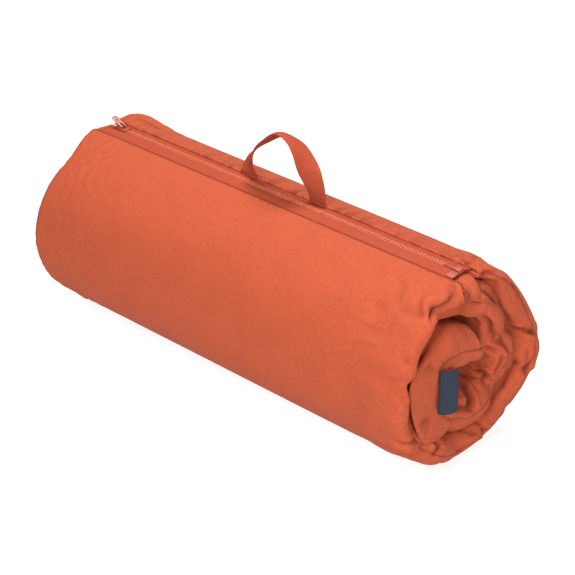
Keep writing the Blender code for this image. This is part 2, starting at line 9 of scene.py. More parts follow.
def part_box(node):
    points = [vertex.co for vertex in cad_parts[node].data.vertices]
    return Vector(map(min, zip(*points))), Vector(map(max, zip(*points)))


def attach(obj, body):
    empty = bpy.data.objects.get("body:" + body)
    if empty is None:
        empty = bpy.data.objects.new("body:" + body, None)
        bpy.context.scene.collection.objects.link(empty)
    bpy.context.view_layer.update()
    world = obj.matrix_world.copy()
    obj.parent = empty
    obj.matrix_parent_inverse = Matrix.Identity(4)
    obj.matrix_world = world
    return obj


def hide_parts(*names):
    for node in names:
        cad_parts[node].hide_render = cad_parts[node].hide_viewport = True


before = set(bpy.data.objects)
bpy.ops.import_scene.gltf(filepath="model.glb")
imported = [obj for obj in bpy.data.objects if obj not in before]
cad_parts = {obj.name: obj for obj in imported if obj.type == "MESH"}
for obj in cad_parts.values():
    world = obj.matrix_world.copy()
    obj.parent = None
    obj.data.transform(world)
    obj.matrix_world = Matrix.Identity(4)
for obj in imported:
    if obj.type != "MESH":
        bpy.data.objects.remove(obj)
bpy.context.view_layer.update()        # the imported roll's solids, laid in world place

scene = bpy.context.scene
mm = 0.001
print("frame loaded:", len(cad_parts), "nodes")


def linearColor(hexText):
    parts = [int(hexText[k:k + 2], 16) / 255 for k in (1, 3, 5)]
    return tuple(c / 12.92 if c <= 0.04045 else ((c + 0.055) / 1.055) ** 2.4 for c in parts) + (1.0,)


def smooth(t):
    t = np.clip(t, 0.0, 1.0)
    return t * t * (3.0 - 2.0 * t)


def bump(value, centre, width):
    return np.exp(-((value - centre) / width) ** 2)


def evaluated(piece):
    return piece.evaluated_get(bpy.context.evaluated_depsgraph_get())


def linkObject(name, data):
    made = bpy.data.objects.new(name, data)
    scene.collection.objects.link(made)
    return made


def shadeSmooth(mesh):
    mesh.polygons.foreach_set("use_smooth", [True] * len(mesh.polygons))


def layCloth(mesh, uvs):
    # where each point lies on the flat cloth, in metres, for the weave
    layer = mesh.uv_layers.new(name="cloth")
    corners = np.empty(len(mesh.loops), int)
    mesh.loops.foreach_get("vertex_index", corners)
    layer.data.foreach_set("uv", np.asarray(uvs)[corners].ravel())


def linkMesh(name, points, faces, uvs=None):
    mesh = bpy.data.meshes.new(name)
    mesh.from_pydata([tuple(p) for p in points], [], faces)
    shadeSmooth(mesh)
    if uvs is not None:
        layCloth(mesh, uvs)
    mesh.update()
    return linkObject(name, mesh)


def tubeFaces(rings, n):
    # faces of a tube made of rings, each of n points
    return [(i * n + j, i * n + (j + 1) % n, (i + 1) * n + (j + 1) % n, (i + 1) * n + j)
            for i in range(rings - 1) for j in range(n)]


def mended(piece, weld=None, melt=None):
    # join doubled points, then melt nearly flat faces together, or else turn all faces outwards
    bm = bmesh.new()
    bm.from_mesh(piece.data)
    if weld:
        bmesh.ops.remove_doubles(bm, verts=bm.verts, dist=weld)
    if melt:
        bmesh.ops.dissolve_limit(bm, angle_limit=melt, verts=bm.verts, edges=bm.edges)
    else:
        bmesh.ops.recalc_face_normals(bm, faces=bm.faces)
    bm.to_mesh(piece.data)
    bm.free()
    return piece


def applied(piece, kind, **settings):
    # run one modifier and keep its result as the piece's mesh
    step = piece.modifiers.new(kind.title(), kind)
    for key, value in settings.items():
        setattr(step, key, value)
    made = bpy.data.meshes.new_from_object(evaluated(piece))
    piece.modifiers.clear()
    piece.data = made
    shadeSmooth(made)
    return piece


def rounded(node, name, width, segments):
    # a copy of one of the solids with its sharp edges rounded
    copy = mended(linkObject(name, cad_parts[node].data.copy()), weld=1e-6, melt=0.02)
    return applied(copy, "BEVEL", width=width, segments=segments, limit_method="ANGLE",
                   angle_limit=math.radians(35.0), harden_normals=False)


def dress(piece, material):
    piece.data.materials.clear()
    piece.data.materials.append(material)


def place(piece, body, slotName, *nodes):
    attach(piece, body)
    if nodes:
        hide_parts(*nodes)


# Camera, as the photograph was taken
view = {"place": (1.31148, -1.40258, 1.21882), "turn": 47.4383, "down": 30.0, "lens": 112.70}
turn = math.radians(view["turn"])
down = math.radians(view["down"])
ahead = Vector((-math.cos(turn) * math.cos(down), math.sin(turn) * math.cos(down), -math.sin(down)))
right = Vector((math.sin(turn), math.cos(turn), 0.0))
upward = right.cross(ahead)
camera = linkObject("camera", bpy.data.cameras.new("camera"))
camera.data.lens = view["lens"]
camera.data.sensor_width = 36.0
camera.data.clip_end = 20.0
axes = Matrix((right, upward, -ahead)).transposed().to_4x4()
camera.matrix_world = Matrix.Translation(view["place"]) @ axes
scene.camera = camera
scene.view_settings.view_transform = "Standard"
print("camera set")


# Materials
def setInputs(tree, node, inputs):
    # a socket is linked, anything else is set as the input's own value
    for key, value in inputs.items():
        if isinstance(value, bpy.types.NodeSocket):
            tree.links.new(value, node.inputs[key])
        else:
            node.inputs[key].default_value = value


def addNode(tree, kind, settings, inputs):
    node = tree.nodes.new(kind)
    for key, value in settings.items():
        setattr(node, key, value)
    setInputs(tree, node, inputs)
    return node


def startMaterial(name, inputs):
    material = bpy.data.materials.new(name)
    material.use_nodes = True
    shader = material.node_tree.nodes["Principled BSDF"]
    setInputs(material.node_tree, shader, inputs)
    return material, material.node_tree, shader


def maths(tree, operation, *values, clamp=False):
    return addNode(tree, "ShaderNodeMath", {"operation": operation, "use_clamp": clamp},
                   dict(enumerate(values))).outputs[0]


def stretched(tree, vector, scale):
    return addNode(tree, "ShaderNodeMapping", {}, {0: vector, 3: scale}).outputs[0]


def cloudy(tree, vector, scale, detail, dimensions="3D"):
    return addNode(tree, "ShaderNodeTexNoise", {"noise_dimensions": dimensions},
                   {"Vector": vector, "Scale": scale, "Detail": detail}).outputs[0]


def ranged(tree, kind, value, low, high, atLow, atHigh):
    return addNode(tree, "ShaderNodeMapRange", {"interpolation_type": kind},
                   {0: value, 1: low, 2: high, 3: atLow, 4: atHigh}).outputs[0]


def tinted(tree, share, low, high):
    return addNode(tree, "ShaderNodeMix", {"data_type": "RGBA"}, {0: share, 6: low, 7: high}).outputs[2]


def objectPlace(tree):
    return addNode(tree, "ShaderNodeTexCoord", {}, {}).outputs["Object"]


def raised(tree, strength, distance, height):
    return addNode(tree, "ShaderNodeBump", {},
                   {"Strength": strength, "Distance": distance, "Height": height}).outputs[0]


def sewnCloth(tree, look, color, height):
    # the seam line, the bumps and the painted shade that only the sewn cover has, from values that its points
    # carry; one dark colour serves for the seam line and for the painted shade
    seam = linearColor(look["seam"])
    distance, pucker, hollow = (
        addNode(tree, "ShaderNodeAttribute", {"attribute_name": name}, {}).outputs["Fac"]
        for name in ("seamDistance", "pucker", "hollow"))
    # a plain seam: a thin dark line where two cloths meet, drawn in towards it
    line = ranged(tree, "SMOOTHSTEP", distance, 0.0002, 0.0011, look["seamShade"], 0.0)
    color = tinted(tree, line, color, seam)
    height = maths(tree, "MULTIPLY_ADD", line, -4.0, height)
    # fine puckers across the sewn edge behind the zip, about 7 mm apart
    ridges = cloudy(tree, stretched(tree, objectPlace(tree), (105.0, 14.0, 14.0)), 1.0, 1.5)
    height = maths(tree, "MULTIPLY_ADD", maths(tree, "MULTIPLY", ridges, pucker),
                   look["puckerHeight"] / look["relief"], height)
    # painted shade: the bottom of a fold or a pucker, where little light reaches, is darkened in the colour
    paintedValleyShade = maths(tree, "MULTIPLY", ranged(tree, "SMOOTHSTEP", ridges, 0.38, 0.54, 0.75, 0.0), pucker)
    paintedShade = maths(tree, "MULTIPLY_ADD", hollow, look["hollowShade"], paintedValleyShade, clamp=True)
    return tinted(tree, paintedShade, color, seam), height


def wovenMaterial(name, look):
    # Woven cloth: over-and-under threads with slubs, matt, with a faint fuzz at grazing angles
    material, tree, shader = startMaterial(name, {
        "Roughness": look["roughness"], "Sheen Weight": look["sheen"], "Sheen Roughness": 0.45,
        "Sheen Tint": linearColor(look["light"]), "Specular IOR Level": 0.25})
    cloth = addNode(tree, "ShaderNodeUVMap", {"uv_map": "cloth"}, {}).outputs[0]
    ways = addNode(tree, "ShaderNodeSeparateXYZ", {}, {0: cloth}).outputs
    waves = [maths(tree, "SINE", maths(tree, "MULTIPLY", ways[k], math.pi / look["thread"])) for k in (0, 1)]
    humps = [maths(tree, "ABSOLUTE", wave) for wave in waves]
    over = maths(tree, "GREATER_THAN", maths(tree, "MULTIPLY", *waves), 0.0)
    weave = addNode(tree, "ShaderNodeMix", {"data_type": "FLOAT"},
                    {0: over, 2: humps[0], 3: humps[1]}).outputs[0]
    thin, long = look["slub"]
    slubs = [cloudy(tree, stretched(tree, cloth, scale), 1.0, 2.0, "2D")
             for scale in ((thin, long, 1.0), (long, thin, 1.0))]
    slub = maths(tree, "ADD", *slubs)
    cloud = cloudy(tree, objectPlace(tree), 26.0, 3.0)
    # shade runs 0 dark to 1 light; the threads move it as painted shade, lighter on their humps and darker in
    # the gaps between them, while slubs and slow clouds move it as the yarn's own uneven tone
    threadPaintedShade, slubShare, cloudShare = (
        maths(tree, "MULTIPLY_ADD", value, look[share], start - middle * look[share])
        for value, share, start, middle in ((weave, "weaveShade", 0.5, 0.64), (slub, "slubShade", 0.0, 1.0),
                                            (cloud, "cloudShade", 0.0, 0.5)))
    shade = maths(tree, "ADD", maths(tree, "ADD", threadPaintedShade, slubShare), cloudShare, clamp=True)
    color = tinted(tree, shade, linearColor(look["dark"]), linearColor(look["light"]))
    height = maths(tree, "MULTIPLY_ADD", slub, 0.8, weave)
    if "seam" in look:
        color, height = sewnCloth(tree, look, color, height)
    setInputs(tree, shader, {"Base Color": color, "Normal": raised(tree, 1.0, look["relief"], height)})
    return material


def mouldedMaterial(name, look):
    # Injection-moulded or painted surface: faint unevenness and a few fine scuffs in the gloss
    material, tree, shader = startMaterial(name, {
        "Roughness": look["roughness"], "Metallic": look["metallic"], "Coat Weight": look["coat"],
        "Coat Roughness": 0.12})
    where = objectPlace(tree)
    grain = cloudy(tree, where, look["grain"], 3.0)
    scuff = cloudy(tree, where, look["grain"] * 3, 4.0)
    glossiest, dullest = look["roughness"] * 0.75, look["roughness"] * 1.3
    setInputs(tree, shader, {
        "Base Color": tinted(tree, grain, linearColor(look["dark"]), linearColor(look["light"])),
        "Roughness": ranged(tree, "LINEAR", scuff, 0.35, 0.7, glossiest, dullest),
        "Normal": raised(tree, 0.35, 0.00006, grain)})
    return material


coverCotton = wovenMaterial("coverCotton", {
    # cotton canvas, plain weave of 0.45 mm threads drawn at 0.9 mm so that it still shows
    # the dark colour draws the seam lines and is also the painted shade in folds, puckers and at the foot of
    # the folded edge
    "light": "#a6482b", "dark": "#953f24", "seam": "#5f2011", "seamShade": 0.46, "puckerHeight": 0.0090,
    "hollowShade": 0.95, "roughness": 0.9, "sheen": 0.06, "thread": 0.0009, "slub": (520.0, 150.0),
    "weaveShade": 0.45, "slubShade": 1.3, "cloudShade": 0.8, "relief": 0.00006})
strapCotton = wovenMaterial("strapCotton", {
    # the same cotton folded to a strap, with a slightly closer weave
    "light": "#9a4027", "dark": "#88341e", "roughness": 0.88, "sheen": 0.06, "thread": 0.0008,
    "slub": (520.0, 150.0), "weaveShade": 0.45, "slubShade": 1.2, "cloudShade": 0.5, "relief": 0.00006})
tapeWeave = wovenMaterial("tapeWeave", {
    # polyester zip tape, ribbed along its length, smoother and deeper in colour than the cotton
    "light": "#9c3d22", "dark": "#89341a", "roughness": 0.75, "sheen": 0.03, "thread": 0.0010,
    "slub": (900.0, 60.0), "weaveShade": 0.5, "slubShade": 0.4, "cloudShade": 0.3, "relief": 0.00009})
labelWeave = wovenMaterial("labelWeave", {
    # damask label: very fine satin weave, left blank
    "light": "#212a38", "dark": "#181f2b", "roughness": 0.7, "sheen": 0.04, "thread": 0.0006,
    "slub": (1500.0, 220.0), "weaveShade": 0.5, "slubShade": 0.6, "cloudShade": 0.3, "relief": 0.00004})
toothAcetal = mouldedMaterial("toothAcetal", {
    # moulded acetal teeth: waxy, with small lights
    "light": "#cc6c4c", "dark": "#a3462b", "roughness": 0.42, "metallic": 0.0, "coat": 0.15, "grain": 420.0})
boxAcetal = mouldedMaterial("boxAcetal", {
    # the box and pins at the zip's end: the same plastic, paler where it is thick
    "light": "#a64934", "dark": "#913c28", "roughness": 0.4, "metallic": 0.0, "coat": 0.1, "grain": 300.0})
filmNylon = mouldedMaterial("filmNylon", {
    # clear nylon film welded over the tape, which shows it pink and ribbed
    "light": "#a3462e", "dark": "#8d3824", "roughness": 0.4, "metallic": 0.0, "coat": 0.12, "grain": 300.0})
sliderLacquer = mouldedMaterial("sliderLacquer", {
    # die-cast slider lacquered to match, glossy with pinkish lights
    "light": "#a24d38", "dark": "#893a27", "roughness": 0.4, "metallic": 0.2, "coat": 0.2, "grain": 240.0})
seamThread = mouldedMaterial("seamThread", {
    # polyester sewing thread, a little darker than the cotton
    "light": "#913a24", "dark": "#752c1b", "roughness": 0.6, "metallic": 0.0, "coat": 0.0, "grain": 900.0})
print("materials made")


# Shape of the roll, by the same rules as its solids; angles start at the top and run over the back
roll = {
    "radius": 0.123, "sag": 0.003, "slab": 0.040, "nose": 0.011, "layerGap": 0.0005, "looseGap": 0.0070,
    "endAngle": 740.0, "coreSwell": 0.006, "halfLength": 0.306, "sideRound": 0.018, "fullness": 2.3,
    "frontFoldY": -0.0195, "rearFoldY": 0.0167, "ledge": 0.0060, "leastRadius": 0.007, "bluntness": 3.2,
    # angles: where the loose gap lies and over how far, how long the nose tapers, where the free
    # end's taper is over, where the slab begins to dip under the flap, where the core swells
    "looseAt": 70.0, "looseOver": 34.0, "noseRun": 62.0, "tapered": 200.0, "dipFrom": 322.0,
    "swellFrom": 455.0, "swellTo": 705.0, "swellEase": 40.0,
}
zipper = {
    "y": 0.0010, "depth": 0.0022, "tapeThick": 0.0008, "tapeFlat": 0.0060, "frontSlope": 0.14,
    "rearSlope": 0.26, "tapeFrontY": -0.0225, "tapeRearY": 0.0225, "halfWidth": 0.0037, "halfThick": 0.0018,
    "headReach": 0.0016, "toothHalf": 0.00105, "pitch": 0.0039, "start": -0.2690, "teeth": 136,
    "under": 0.0046, "gap": 0.0003, "tapeCells": (230, 10), "barWide": 0.0022, "barHigh": 0.0010,
    "barDrop": 0.0006,
    # places across the zip where the cloth below it has a row of points; it dips from the first
    # to the third of them
    "rowsUnder": (-0.0165, -0.0130, -0.0105, -0.0070, -0.0030, 0.0010, 0.0050, 0.0080),
}
label = {
    # curl: how far it runs out along the roll and back to the hollow, in shares of its width, from
    # its sewn base to its free edge; base and thick are along the roll and to the back
    "angle": 630.0, "width": 0.0195, "length": 0.057, "across": 12, "along": 24, "wave": 0.0006,
    "base": (0.0008, 0.0006), "thick": (0.0005, -0.0004),
    "curl": [(0.0, 0.0), (0.231, 0.133), (0.426, 0.369), (0.554, 0.656), (0.644, 0.95)],
}
tongue = {
    # the inner end lies across the hollow: angle, then outer face, side seam and inner face there,
    # each as y and z above the roll's axis in shares of the hollow's radius
    "start": 660.0, "smoothed": (640.0, 726.0),
    "stops": [(682.0, (-0.942, 1.605), (-0.930, 0.860), (-0.620, 0.262)),
              (702.0, (-0.465, 1.535), (-0.465, 0.837), (-0.233, 0.200)),
              (724.0, (0.000, 1.349), (0.000, 0.698), (0.186, 0.150)),
              (740.0, (0.140, 1.209), (0.340, 0.620), (0.570, 0.093))],
}
axisZ = roll["radius"] - roll["sag"]
rollTop = axisZ + roll["radius"]
hollow = roll["radius"] - 2 * roll["slab"]
noseAngle = math.degrees(math.asin(roll["rearFoldY"] / roll["radius"]))
frontAngle = 360.0 + math.degrees(math.asin(roll["frontFoldY"] / roll["radius"]))
flapAngle = 360.0 + noseAngle
flapDrop = roll["nose"] + roll["layerGap"]


def tapeDrop(y):
    away = y - zipper["y"]
    slope = zipper["frontSlope"] if away < 0 else zipper["rearSlope"]
    return slope * max(0.0, abs(away) - zipper["tapeFlat"])


def tapeTop(y):
    return rollTop - zipper["depth"] + zipper["tapeThick"] / 2 - tapeDrop(y)


def tapeLow(y):
    return tapeTop(y) - zipper["tapeThick"]


def looseGap(angle):
    return roll["layerGap"] + roll["looseGap"] * bump(angle, roll["looseAt"], roll["looseOver"])


def underZip(angle):
    y = roll["radius"] * math.sin(math.radians(angle))
    low = rollTop - tapeLow(zipper["tapeFrontY"]) + zipper["gap"]
    chainLow = max(zipper["depth"] + zipper["under"], low)
    flapLow = roll["radius"] - (roll["radius"] - flapDrop - zipper["gap"]) * math.cos(math.radians(noseAngle))
    ledgeY = roll["rearFoldY"] - roll["ledge"]
    dip = zipper["rowsUnder"]
    depth = np.interp(y, [dip[0], dip[2], ledgeY, roll["rearFoldY"]], [low, chainLow, chainLow, flapLow])
    return (roll["radius"] - depth) / math.cos(math.radians(angle))


def outerRadius(angle):
    if angle <= frontAngle:
        return roll["radius"]
    if angle < flapAngle:
        return underZip(angle)
    return innerRadius(angle - 360.0) - looseGap(angle - 360.0)


def flapDip(angle):
    return flapDrop * smooth((angle - roll["dipFrom"]) / (flapAngle - roll["dipFrom"]))


def innerRadius(angle):
    if angle < roll["tapered"]:
        taper = smooth((angle - noseAngle) / roll["noseRun"])
        return roll["radius"] - roll["nose"] - (roll["slab"] - roll["nose"]) * taper
    if angle < flapAngle:
        return roll["radius"] - roll["slab"] - flapDip(angle)
    swell = roll["coreSwell"] * smooth((angle - roll["swellFrom"]) / roll["swellEase"])
    swell *= smooth((roll["swellTo"] - angle) / roll["swellEase"])
    return max(outerRadius(angle) - roll["slab"] - swell, roll["leastRadius"])


def seamRadius(angle):
    if angle < roll["tapered"]:
        return 0.5 * (roll["radius"] + innerRadius(angle))
    if angle < flapAngle:
        return roll["radius"] - roll["slab"] / 2 - flapDip(angle)
    return 0.5 * (outerRadius(angle) + innerRadius(angle))


def onRoll(angle, radius):
    a = math.radians(angle)
    return (radius * math.sin(a), max(axisZ + radius * math.cos(a), 0.0))


def sectionAt(angle):
    # outer face, side seam and inner face of the slab at one angle of the winding
    if angle <= tongue["start"]:
        return [onRoll(angle, radius(angle)) for radius in (outerRadius, seamRadius, innerRadius)]
    stops = [(tongue["start"], sectionAt(tongue["start"]))]
    for stop, *places in tongue["stops"]:
        stops.append((stop, [(y * hollow, axisZ + z * hollow) for y, z in places]))
    for (a0, low), (a1, high) in zip(stops, stops[1:]):
        if angle <= a1:
            t = (angle - a0) / (a1 - a0)
            return [(p[0] + (q[0] - p[0]) * t, p[1] + (q[1] - p[1]) * t) for p, q in zip(low, high)]
    return stops[-1][1]


# where each side seam lies along the roll: angle, width in degrees, size in mm of every fold
nearHem = [(10, 9, -9), (48, 20, 3), (72, 14, -3), (95, 32, 13.5), (126, 13, 3), (150, 14, 4),
           (172, 12, 1), (205, 12, 4), (232, 7, -7), (258, 10, -2), (284, 6, -9), (304, 9, -3),
           (330, 9, -8), (395, 16, 4), (450, 20, 8), (492, 9, -6), (520, 14, 4), (560, 9, -6),
           (630, 60, -2), (700, 25, 3), (735, 14, 4)]
farHem = [(8, 16, -13), (60, 9, -7), (100, 14, 2), (140, 9, -5), (190, 16, 2), (252, 38, 10),
          (326, 14, -7), (400, 20, 4), (470, 10, -6), (540, 22, 4), (610, 10, -5), (700, 25, 5)]


def hemAt(angle, end):
    table = nearHem if end > 0 else farHem
    return roll["halfLength"] + sum(mm * size * bump(angle, at, wide) for at, wide, size in table)


# Cover: one closed bag of cloth wound in the roll
cover = {
    # how the cloth goes round the slab's side, from the seam (share 0) to the face (share 1): share,
    # way back from the hem in side rounds, way from the seam towards the face; both only at the near
    # end, between two angles and easing off over a third
    "tuckedAt": (246, 349, 10), "flaredAt": (592, 646, 26), "sideArc": 0.62,
    "tucked": [(0.0, 1.10, 0.0), (0.14, 0.50, 0.12), (0.27, 0.12, 0.25), (0.42, 0.0, 0.45),
               (0.57, 0.09, 0.72), (0.72, 0.30, 0.90), (0.87, 0.62, 0.985), (1.0, 1.0, 1.0)],
    "flared": [(0.0, 0.0, 0.0), (0.14, 0.0, 0.40), (0.27, 0.02, 0.85), (0.42, 0.06, 1.30), (0.57, 0.16, 1.65),
               (0.72, 0.34, 1.78), (0.87, 0.66, 1.50), (1.0, 1.0, 1.05)],
    # pushes on the cloth: end, angle, its width, and in mm the distance from the seam (negative
    # on the inner side), its width, the push outwards along the roll and outwards from the axis
    "pushes": [(1, 385, 30, -12, 28, 2, -11), (1, 100, 18, 10, 20, 2, 0), (1, 30, 6, 16, 8, -3, -3),
               (1, 648, 16, 20, 14, -4, 0), (1, 700, 14, 4, 10, -3, 0), (1, 60, 10, -4, 12, 2, 0),
               (1, 195, 38, 26, 26, -3, -7), (1, 105, 40, 24, 24, -3, -2), (1, 50, 24, 24, 34, -10, -5),
               (1, 152, 22, 22, 28, -3, -4), (1, 42, 20, -16, 20, 3, -14), (1, 398, 22, 20, 16, 0, -10),
               (-1, 318, 26, 20, 30, -1, -3), (-1, 357, 9, 7, 9, 3, 5)],
    # folds near the ends: end, width and depth in mm and the line they follow, each point an
    # angle and a distance from the side seam in mm (negative on the inner side)
    "folds": [
        (1, 3, 5, [(8, 12), (22, 34), (36, 53)]),
        (1, 4, 3.2, [(9, -8), (15, 3), (32, 12)]),
        (1, 4.5, 2.8, [(10, 16), (20, 40), (26, 70)]),
        (1, 6, 6, [(366, 14), (380, 8), (405, 12), (440, 14)]),
        (1, 5, 3, [(20, -12), (40, -16), (65, -20), (90, -22)]),
        (1, 3.2, 4.5, [(348, 30), (344, 18), (340, 9)]),
        (1, 3.2, 4, [(349, 18), (352, 8), (354, -1)]),
        (1, 3.5, 5.5, [(372, -10), (391, -14), (410, -12), (424, -10)]),
        (1, 3.2, 5, [(403, -9), (424, -4), (445, 7)]),
        (1, 3.2, 4.5, [(430, -2), (443, 1), (456, 4)]),
        (1, 3.5, 5, [(443, -6), (432, -12), (420, -20)]),
        (1, 3.2, 5, [(445, -7), (466, -6), (488, -4)]),
        (1, 3.8, 7, [(492, -6), (484, -14), (472, -34)]),
        (1, 4.2, 8, [(537, -8), (526, -25), (508, -48)]),
        (1, 3.4, 5, [(567, -12), (548, -10), (530, -8)]),
        (1, 3, 3.5, [(655, 3), (657, 9), (666, 10)]),
        (1, 2.8, 3.5, [(612, 9), (598, 5)]),
        (1, 3.6, 5.5, [(226, -14), (214, -12), (218, -1), (222, 10)]),
        (1, 3.4, 3.8, [(163, -16), (162, 0), (162, 10)]),
        (1, 3.4, 2.8, [(178, -14), (168, -6), (160, 0)]),
        (1, 3.4, 2, [(273, 10), (279, 14), (282, 20)]),
        (1, 3.4, 1.6, [(272, 11), (267, 17), (265, 24)]),
        (1, 3.6, 4.5, [(249, 24), (246, 12), (242, -2)]),
        (1, 3.4, 1.8, [(298, 11), (299, 18), (300, 26)]),
        (1, 3.6, 6, [(77, -26), (79, -9), (86, 4), (93, 13)]),
        (1, 3.4, 3.6, [(106, -22), (110, -10), (113, 0), (116, 10)]),
        (1, 3.2, 4, [(112, -1), (102, 2), (90, 1)]),
        (1, 3.2, 4, [(112, -2), (100, -7), (90, -10)]),
        (1, 4.5, 5, [(104, -20), (122, -21), (138, -21), (156, -18)]),
        (1, 3.2, 5, [(334, 20), (328, 15), (323, 10)]),
        (1, 3.2, 6.5, [(323, 14), (333, 12), (339, 14), (343, 22), (345, 36)]),
        (1, 2.8, 4, [(327, 10), (337, 8), (343, 10)]),
        (1, 6, 3, [(324, 16), (323, 34), (321, 60)]),
        (1, 5, 1.4, [(308, 24), (294, 19), (282, 12)]),
        (1, 7, 1.8, [(284, 14), (286, 40), (288, 80)]),
        (1, 6, 2.6, [(233, 12), (236, 40), (239, 80)]),
        (1, 5, 2, [(204, 10), (209, 30), (213, 55)]),
        (1, 4, 1.4, [(136, -4), (140, 10), (139, 36)]),
        (-1, 6, 3.5, [(60, 6), (62, 30), (64, 70)]),
        (-1, 9, 3.4, [(18, 14), (22, 45), (26, 85)]),
        (-1, 6, 3.5, [(140, 6), (137, 30), (134, 60)]),
        (-1, 6, 2.5, [(90, 6), (94, 30), (98, 55)]),
        (-1, 7, 1.2, [(230, 6), (229, 30), (228, 60)]),
        (-1, 5, 5, [(400, -10), (440, -16), (480, -12)]),
        (-1, 5, 5, [(520, 10), (560, 16), (610, 12)]),
    ],
    # creases left by rolling, all round both ends: how far apart, how long, how deep, and how far
    # from the side seam they run out
    "crease": {"apart": 0.030, "long": 0.085, "depth": 0.0018, "reach": 0.030, "fade": 0.024,
               "outerReach": 0.004, "outerFade": 0.006, "seed": 6.3},
    # the far end stands up a little behind the zip: height, angle, its width, x, its width
    "hump": (0.0065, 23.0, 12.0, -0.282, 0.030),
    # the side seams draw the cloth in, and by how much more or less as they run
    "drawIn": 0.0011, "drawUneven": 0.0006, "drawWaves": (520.0, 171.0),
    # where the cloth lies calm, angle and its width: down the front and under the label
    "calmFront": (285.0, 60.0), "calmLabel": (640.0, 50.0),
    # puckers behind the folded edge: angle they fade over and where they end; then along the roll
    # the least share, the place x with the most and its width
    "puckerOver": 9.0, "puckerEnd": 60.0, "puckerAlong": (0.35, 0.03, 0.12),
    # painted shade in a fold: the depth that is darkest and the share of it that stays light; painted shadow
    # at the foot of the folded edge: how far it reaches, its soft rim and how dark it is
    "foldShade": (0.0048, 0.35), "footShade": (0.0042, 0.0012, 0.85),
    # columns of points: shares of the way round a side, then places along the roll
    "sideShares": [0.0, 0.05, 0.14, 0.27, 0.42, 0.57, 0.72, 0.87, 1.0],
    "places": [0.262, 0.257, 0.251, 0.245, 0.238, 0.230, 0.221, 0.210, 0.197, 0.181, 0.162, 0.138, 0.108,
               0.074, 0.037],
}


# Every row of points goes once along the roll: an outer, a seam and an inner point, each y and z
def pocketBehind():
    # the free end behind the zip: a pocket over and under the rear tape, then the folded edge
    fold = roll["rearFoldY"]
    end = zipper["tapeRearY"]
    return [(fold - 0.0006, tapeLow(fold) - 0.0012), (fold + 0.0002, tapeLow(fold) - 0.0004),
            (fold + 0.0030, tapeLow(fold + 0.0030) - 0.0004), (end - 0.0003, tapeLow(end) - 0.0003),
            (end + 0.0004, tapeTop(end) - 0.0004), (end - 0.0002, tapeTop(end) + 0.0008),
            (end - 0.0018, tapeTop(end) + 0.0020), (fold + 0.0020, tapeTop(fold + 0.0020) + 0.0002),
            (fold + 0.0002, tapeTop(fold) - 0.0003), (fold - 0.0006, tapeTop(fold) + 0.0006),
            (fold - 0.0002, tapeTop(fold) + 0.0021)]


frontEdge = (roll["frontFoldY"], rollTop - 0.0020)


def pocketBefore():
    # the folded edge in front of the zip, then a pocket over and under the front tape
    front = roll["frontFoldY"]
    end = zipper["tapeFrontY"]
    return [(front - 0.0020, rollTop - 0.00175), (front - 0.0007, rollTop - 0.00158), frontEdge,
            (front - 0.0001, rollTop - 0.0028), (front - 0.0008, rollTop - 0.00335),
            (front - 0.0022, tapeTop(front - 0.0022) + 0.0004), (end - 0.0004, tapeTop(end) + 0.0002),
            (end - 0.0007, tapeLow(end) + 0.0004), (end - 0.0003, tapeLow(end) - 0.0003),
            (front, tapeLow(front) - 0.0005)]


def bluntEnd(start, last):
    # the inner end, rounded over
    made = []
    for turned in np.linspace(0.0, 0.5 * math.pi, 7):
        angle = start + (last - start) * math.sin(turned)
        outer, mid, inner = (Vector(p) for p in sectionAt(angle))
        spread = max(0.0, math.cos(turned)) ** (2 / roll["bluntness"])
        points = [tuple(mid + (p - mid) * spread) for p in (outer, mid, inner)]
        made.append((*points, angle))
    return made


def rowPlan():
    # all rows with their angles, from the free end behind the zip to the inner end in the hollow,
    # closer together near the folded edges
    fold = roll["rearFoldY"]
    tip = (fold - 0.0012, tapeLow(fold) - 0.0030)
    rows = [(tip, tip, tip, noseAngle - 0.3)]
    for k, point in enumerate(pocketBehind()):
        angle = noseAngle - 0.2 + 0.08 * k
        low = onRoll(angle, innerRadius(angle))
        mid = (fold - 0.0004 + 0.0002 * k, 0.5 * (tapeLow(fold) - 0.0016 + low[1]))
        rows.append((point, mid, low, angle))
    angle = noseAngle + 0.8
    while angle < frontAngle - 1.8:
        rows.append((*sectionAt(angle), angle))
        angle += 0.9 if angle < noseAngle + 4 else 2.2 if angle < 340 else 1.2
    for k, point in enumerate(pocketBefore()):
        angle = frontAngle - 1.2 + 0.2 * k
        rows.append((point, onRoll(angle, seamRadius(angle)), onRoll(angle, innerRadius(angle)), angle))
    ledgeY = fold - roll["ledge"]
    for y in (*zipper["rowsUnder"], ledgeY, ledgeY + 0.0030, fold):
        angle = min(360.0 + math.degrees(math.asin(y / roll["radius"])), flapAngle - 1e-6)
        rows.append((*sectionAt(angle), angle))
    angle = flapAngle + 1.4
    while angle < roll["endAngle"] - 14:
        rows.append((*sectionAt(angle), angle))
        angle += 3.0 if angle < 640 else 4.0
    return rows + bluntEnd(angle, roll["endAngle"])


rows = rowPlan()
rowAngle = np.array([r[3] for r in rows])
outerLine, seamLine, innerLine = (np.array([r[k] for r in rows]) for k in range(3))
# the winding turns smoothly into the inner end
low, high = tongue["smoothed"]
inHollow = np.flatnonzero((rowAngle > low) & (rowAngle < high))
for line in (outerLine, seamLine, innerLine):
    for _ in range(3):
        line[inHollow] = 0.5 * line[inHollow] + 0.25 * (line[inHollow - 1] + line[inHollow + 1])


def runLength(line):
    return np.concatenate([[0.0], np.cumsum(np.linalg.norm(np.diff(line, axis=0), axis=1))])


seamArc = runLength(seamLine)
print("cover rows:", len(rows), "slab length %.3f" % seamArc[-1])


def between(low, high, edge):
    # 1 inside a stretch of the winding, easing to 0 over edge degrees outside it
    return smooth((rowAngle - low + edge) / edge) * smooth((high + edge - rowAngle) / edge)


